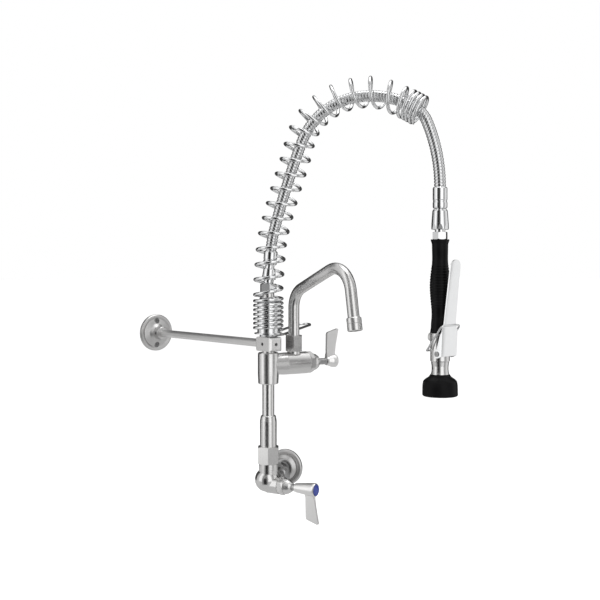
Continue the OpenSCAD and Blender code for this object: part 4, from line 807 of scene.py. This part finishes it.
class FAUCET_OT_hose(bpy.types.Operator):
    """Carries the ribbed outline of the hose along the arch.

    The radius falls by depth * exp(-(d / groove)^2) at the distance d from a groove, as a share of a rib,
    and by crown * (1 - 2 d)^2 towards the rib's edges.
    """

    bl_idname = "faucet.hose"
    bl_label = "Ribbed Hose"

    def execute(self, context):
        s = context.scene.faucet_hose
        first, last = HOSE_START, ARCH_LENGTH - HOSE_SHORT
        rows = s.ribs * RIB_ROWS + 1
        off = np.abs((np.arange(rows) / RIB_ROWS + 0.5) % 1 - 0.5)
        outer = s.diameter / 2 - s.depth * np.exp(-((off / s.groove) ** 2)) - s.crown * (1 - 2 * off) ** 2
        length = np.concatenate([np.linspace(first, last, rows), np.linspace(last, first, BORE_ROWS)])
        radius = np.concatenate([outer, np.full(BORE_ROWS, s.bore / 2)])
        around = np.linspace(0, 2 * math.pi, HOSE_SIDES, endpoint=False)
        grid = on_arch(length[:, None], radius[:, None], around[None, :])
        piece = surface("ribbed_hose", grid, close_rows=True)
        finish_of(piece, polished("hose metal"), "overhead")
        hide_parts("hose")
        return {"FINISHED"}


class FAUCET_OT_grip(bpy.types.Operator):
    """Turns the waisted rubber grip with its ribs and lips.

    From station to station the radius follows half a cosine wave. The ribs add to it by their height times
    clip(0.5 + 0.9 cos(2 pi phase), 0, 1), where the phase grows by 1 from rib to rib.
    """

    bl_idname = "faucet.grip"
    bl_label = "Rubber Grip"

    def execute(self, context):
        s = context.scene.faucet_grip
        foot = grip_foot(context.scene)
        station = np.array([*GRIP_FOOT, (GRIP_BELLY, s.belly / 2), *GRIP_HEAD])
        share = np.linspace(0, 1, GRIP_ROWS)
        n = np.clip(np.searchsorted(station[:, 0], share, side="right") - 1, 0, len(station) - 2)
        a, b = station[n], station[n + 1]
        wave = (1 - np.cos(math.pi * (share - a[:, 0]) / (b[:, 0] - a[:, 0]))) / 2
        radius = a[:, 1] + (b[:, 1] - a[:, 1]) * wave
        phase = (share - RIBS_FROM) / (RIBS_TO - RIBS_FROM) * (s.ribs - 1)
        on_belly = np.clip(phase + 0.5, 0, 1) * np.clip(s.ribs - 0.5 - phase, 0, 1)
        radius = radius + s.rib_out * on_belly * np.clip(0.5 + 0.9 * np.cos(2 * math.pi * phase), 0, 1)
        edge = np.clip(np.minimum(share, 1 - share) * s.length / GRIP_EDGE, 0, 1)
        radius = radius - GRIP_EDGE * (1 - np.sqrt(1 - (1 - edge) ** 2))
        bore = np.array([[s.bore / 2, foot + s.length], [s.bore / 2, foot]])
        outline = np.concatenate([np.stack([radius, foot + s.length * share], -1), bore])
        piece = turned("rubber_grip", outline)
        finish_of(piece, black_rubber("grip rubber"), "spray")
        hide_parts("grip")
        return {"FINISHED"}


class FAUCET_OT_bumper(bpy.types.Operator):
    """Turns the rubber bumper with its soft shoulder, its open mouth and the groove for the spray plate"""

    bl_idname = "faucet.bumper"
    bl_label = "Rubber Bumper"

    def execute(self, context):
        s = context.scene.faucet_bumper
        z = bumper_foot(context.scene)
        h, r = s.height, s.diameter / 2
        corners = [
            (r - 1.2, z),
            (r, z + 1.6),
            (r - 0.3, z + h * 0.5),
            (r - 1.2, z + h * 0.68),
            (r - 3.2, z + h * 0.76),
            (s.top + 1.6, z + h * 0.88),
            (s.top, z + h - 1.4),
            (s.top - 0.6, z + h),
            (NECK_RADIUS, z + h),
            (NECK_RADIUS, z + h - NECK_DEPTH),
            (BORE_RADIUS, z + h - NECK_DEPTH),
            (BORE_RADIUS, z + PLATE_TOP),
            (PLATE_RADIUS, z + PLATE_TOP),
            (PLATE_RADIUS, z + PLATE_FOOT),
            (s.mouth / 2, z + PLATE_FOOT),
            (s.mouth / 2, z),
        ]
        piece = turned("rubber_bumper", round_profile(corners, BUMPER_ROUNDING))
        finish_of(piece, black_rubber("bumper rubber"), "spray")
        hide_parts("bumper")
        return {"FINISHED"}


class FAUCET_OT_steel(bpy.types.Operator):
    """Gives the bracket, riser, bodies, handles and spout their brushed steels, with painted light on the
    handles
    """

    bl_idname = "faucet.steel"
    bl_label = "Satin Steel"

    def execute(self, context):
        colour = context.scene.faucet_finish.steel
        for finish, look in STEELS.items():
            dress(finish, metal(finish, colour, *look))
        return {"FINISHED"}


class FAUCET_OT_chrome(bpy.types.Operator):
    """Gives the hose fittings, the spray valve's fittings and lever, and the bent wires their polish"""

    bl_idname = "faucet.chrome"
    bl_label = "Polished Chrome"

    def execute(self, context):
        s = context.scene.faucet_finish
        dress("chrome", polished("chrome"))
        dress("bright wire", polished("bright wire"))
        # The lever's chrome is painted lighter, as painted light
        made = polished("bowed chrome painted lighter")
        bow(made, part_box("spray_lever"), s.lever_turn, s.lever_bow)
        dress("bowed chrome painted lighter", made)
        return {"FINISHED"}


class FAUCET_OT_dark(bpy.types.Operator):
    """Gives nuts, screws and inner metal pieces their darker steel, with painted shade on the screws"""

    bl_idname = "faucet.dark"
    bl_label = "Dark Steel"

    def execute(self, context):
        colour = context.scene.faucet_finish.dark
        for finish, look in DARK_STEELS.items():
            dress(finish, metal(finish, colour, *look))
        return {"FINISHED"}


class FAUCET_OT_seals(bpy.types.Operator):
    """Gives washers, rings and cartridges their inner materials"""

    bl_idname = "faucet.seals"
    bl_label = "Seals and Cartridges"

    def execute(self, context):
        for finish, look in MATT.items():
            dress(finish, matt(finish, *look, MATT_SHINE))
        return {"FINISHED"}


class FAUCET_OT_button(bpy.types.Operator):
    """Gives the index button its blue face with a darker edge"""

    bl_idname = "faucet.button"
    bl_label = "Index Button"

    def execute(self, context):
        blue = context.scene.faucet_finish.blue
        lo, hi = (np.array(c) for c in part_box("index_button"))
        made, tree, shader, where = start_material("Blue button")
        off = add(tree, "ShaderNodeVectorMath", (-1050, 0), {1: (lo + hi) / 2}, operation="DISTANCE")
        tree.links.new(where, off.inputs[0])
        start, end = (float(np.linalg.norm(hi - lo)) / 2 * share for share in BUTTON_EDGE)
        edge = add(tree, "ShaderNodeMapRange", (-800, 0), {"From Min": start, "From Max": end})
        tree.links.new(off.outputs["Value"], edge.inputs["Value"])
        tone = two_tones(tree, edge.outputs["Result"], blue, shade(blue, BUTTON_EDGE_SHADE), (-400, 150))
        tree.links.new(tone, shader.inputs["Base Color"])
        marks = shared(tree, (-800, -250), "Handling marks", where)
        rough = spread(tree, marks.outputs["Marks"], *BUTTON_ROUGH, (-400, -150))
        tree.links.new(rough, shader.inputs["Roughness"])
        dress("blue button", made)
        return {"FINISHED"}


# ---- Stage ----


def lamp(name, place, aim, size, power):
    """A rectangular area lamp at the place that points at the aim."""
    data = bpy.data.lights.new(name, "AREA")
    data.shape = "RECTANGLE"
    data.size, data.size_y = size
    data.energy = power
    made = new_object(name, data)
    made.location = place
    made.rotation_euler = (Vector(place) - Vector(aim)).to_track_quat("Z", "Y").to_euler()


def glow(name, corners, faces, level):
    """A mesh of the corners and faces that shines at the level and shows only in reflections."""
    made = plain_mesh(name, corners, faces)
    paint = bpy.data.materials.new(name)
    paint.use_nodes = True
    shader = paint.node_tree.nodes["Principled BSDF"]
    shader.inputs["Base Color"].default_value = (0, 0, 0, 1)
    shader.inputs["Roughness"].default_value = 1.0
    shader.inputs["Specular IOR Level"].default_value = 0.0
    shader.inputs["Emission Color"].default_value = (level, level, level, 1)
    shader.inputs["Emission Strength"].default_value = 1.0
    made.data.materials.append(paint)
    made.visible_camera = False
    made.visible_diffuse = False
    made.visible_shadow = False
    made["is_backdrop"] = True


def card(name, bearing, spread_half, level, goes_round):
    """A card that shows only in reflections, square to its bearing from the riser.

    The bearing and half the width are angles in degrees, to the left of the camera's own bearing. Each
    corner lies at middle + distance * (out +- tan(half) * flat) + height, with out along the bearing.
    """
    profile = np.array(CARD_ROUND if goes_round else CARD_UPRIGHT)
    distance, height = profile[:, :1], profile[:, 1:]
    a = math.radians(CAMERA_BEARING - bearing)
    out = np.array([math.cos(a), math.sin(a), 0])
    flat = np.array([-out[1], out[0], 0]) * math.tan(math.radians(spread_half))
    middle = np.array([RISER_AXIS[0], RISER_AXIS[1], 0]) + height * [0, 0, 1]
    corners = np.concatenate([middle + distance * (out - flat), middle + distance * (out + flat)])
    n = len(profile)
    glow(name, corners.tolist(), [(i, n + i, n + i + 1, i + 1) for i in range(n - 1)], level)


def level_square(half, height):
    """Corners in metres of a level square round the origin."""
    return [(-half, -half, height), (half, -half, height), (half, half, height), (-half, half, height)]


def seen_by(tree):
    """1 for rays from the camera, from glossy and from clear surfaces, and 0 for the light on the part."""
    path = add(tree, "ShaderNodeLightPath", (-900, 300))
    first = add(tree, "ShaderNodeMath", (-650, 300), operation="MAXIMUM")
    second = add(tree, "ShaderNodeMath", (-450, 300), operation="MAXIMUM")
    tree.links.new(path.outputs["Is Camera Ray"], first.inputs[0])
    tree.links.new(path.outputs["Is Glossy Ray"], first.inputs[1])
    tree.links.new(first.outputs["Value"], second.inputs[0])
    tree.links.new(path.outputs["Is Transmission Ray"], second.inputs[1])
    return second.outputs["Value"]


def white_world(strength):
    """A white world at strength 1 where it is seen, and at the given strength as light on the part."""
    made = bpy.data.worlds.new("Studio")
    made.use_nodes = True
    tree = made.node_tree
    back = tree.nodes["Background"]
    back.inputs["Color"].default_value = (1, 1, 1, 1)
    tree.links.new(spread(tree, seen_by(tree), strength, 1.0, (-200, 0)), back.inputs["Strength"])
    return made


def pale_floor(height):
    """A wide pale floor at the height that keeps the part's shadow and looks white where it is seen."""
    floor = plain_mesh("Floor", level_square(FLOOR_HALF, height), [(0, 1, 2, 3)])
    made, tree, shader, where = start_material("Pale floor")
    shader.inputs["Base Color"].default_value = FLOOR_COLOUR
    shader.inputs["Roughness"].default_value = FLOOR_ROUGH
    shader.inputs["Emission Color"].default_value = (1, 1, 1, 1)
    seen = spread(tree, seen_by(tree), 0.0, FLOOR_GLOW, (-100, 0))
    tree.links.new(seen, shader.inputs["Emission Strength"])
    floor.data.materials.append(made)
    floor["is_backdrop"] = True


class FAUCET_OT_stage(bpy.types.Operator):
    """Sets up the pale floor, the white world, the soft lamps, the reflection cards and the camera"""

    bl_idname = "faucet.stage"
    bl_label = "Studio"

    def execute(self, context):
        s = context.scene.faucet_stage
        scene = context.scene
        scene.view_settings.view_transform = "Standard"
        scene.world = white_world(s.world)
        pale_floor(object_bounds()[0].z - s.floor_drop)
        for name, place, aim, size, share in LAMPS:
            lamp(name, place, aim, size, s.key * share)
        for row in CARDS:
            card(*row)
        height, half, level = UNDER_CARD
        glow("Under card", level_square(half, height), [(0, 1, 2, 3)], level)

        data = bpy.data.cameras.new("Camera")
        data.lens = CAMERA_LENS
        data.shift_y = CAMERA_SHIFT
        camera = new_object("Camera", data)
        camera.location = CAMERA_PLACE
        camera.rotation_euler = (math.radians(90), 0, math.radians(-CAMERA_TURN))
        scene.camera = camera
        return {"FINISHED"}


# ---- Panel and registration ----

OPERATORS = (
    FAUCET_OT_spring,
    FAUCET_OT_hose,
    FAUCET_OT_grip,
    FAUCET_OT_bumper,
    FAUCET_OT_steel,
    FAUCET_OT_chrome,
    FAUCET_OT_dark,
    FAUCET_OT_seals,
    FAUCET_OT_button,
    FAUCET_OT_stage,
)


class FAUCET_PT_panel(bpy.types.Panel):
    """Lists the pieces, their sizes and the studio"""

    bl_idname = "FAUCET_PT_panel"
    bl_label = "Pre Rinse Faucet"
    bl_space_type = "VIEW_3D"
    bl_region_type = "UI"
    bl_category = "Faucet"

    def draw(self, context):
        for operator in OPERATORS:
            self.layout.operator(operator.bl_idname)
        for name, group in GROUPS.items():
            box = self.layout.box()
            for field in group.__annotations__:
                box.prop(getattr(context.scene, name), field)


def register():
    """Registers the settings, the operators and the panel."""
    for name, group in GROUPS.items():
        bpy.utils.register_class(group)
        setattr(bpy.types.Scene, name, bpy.props.PointerProperty(type=group))
    for item in (*OPERATORS, FAUCET_PT_panel):
        bpy.utils.register_class(item)


def unregister():
    """Removes what register() added."""
    for item in reversed((*OPERATORS, FAUCET_PT_panel)):
        bpy.utils.unregister_class(item)
    for name, group in GROUPS.items():
        delattr(bpy.types.Scene, name)
        bpy.utils.unregister_class(group)


def main():
    """Makes every piece and the studio."""
    register()
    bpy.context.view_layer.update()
    bpy.ops.faucet.spring()
    bpy.ops.faucet.hose()
    bpy.ops.faucet.grip()
    bpy.ops.faucet.bumper()
    bpy.ops.faucet.steel()
    bpy.ops.faucet.chrome()
    bpy.ops.faucet.dark()
    bpy.ops.faucet.seals()
    bpy.ops.faucet.button()
    bpy.ops.faucet.stage()


if __name__ == "__main__":
    main()
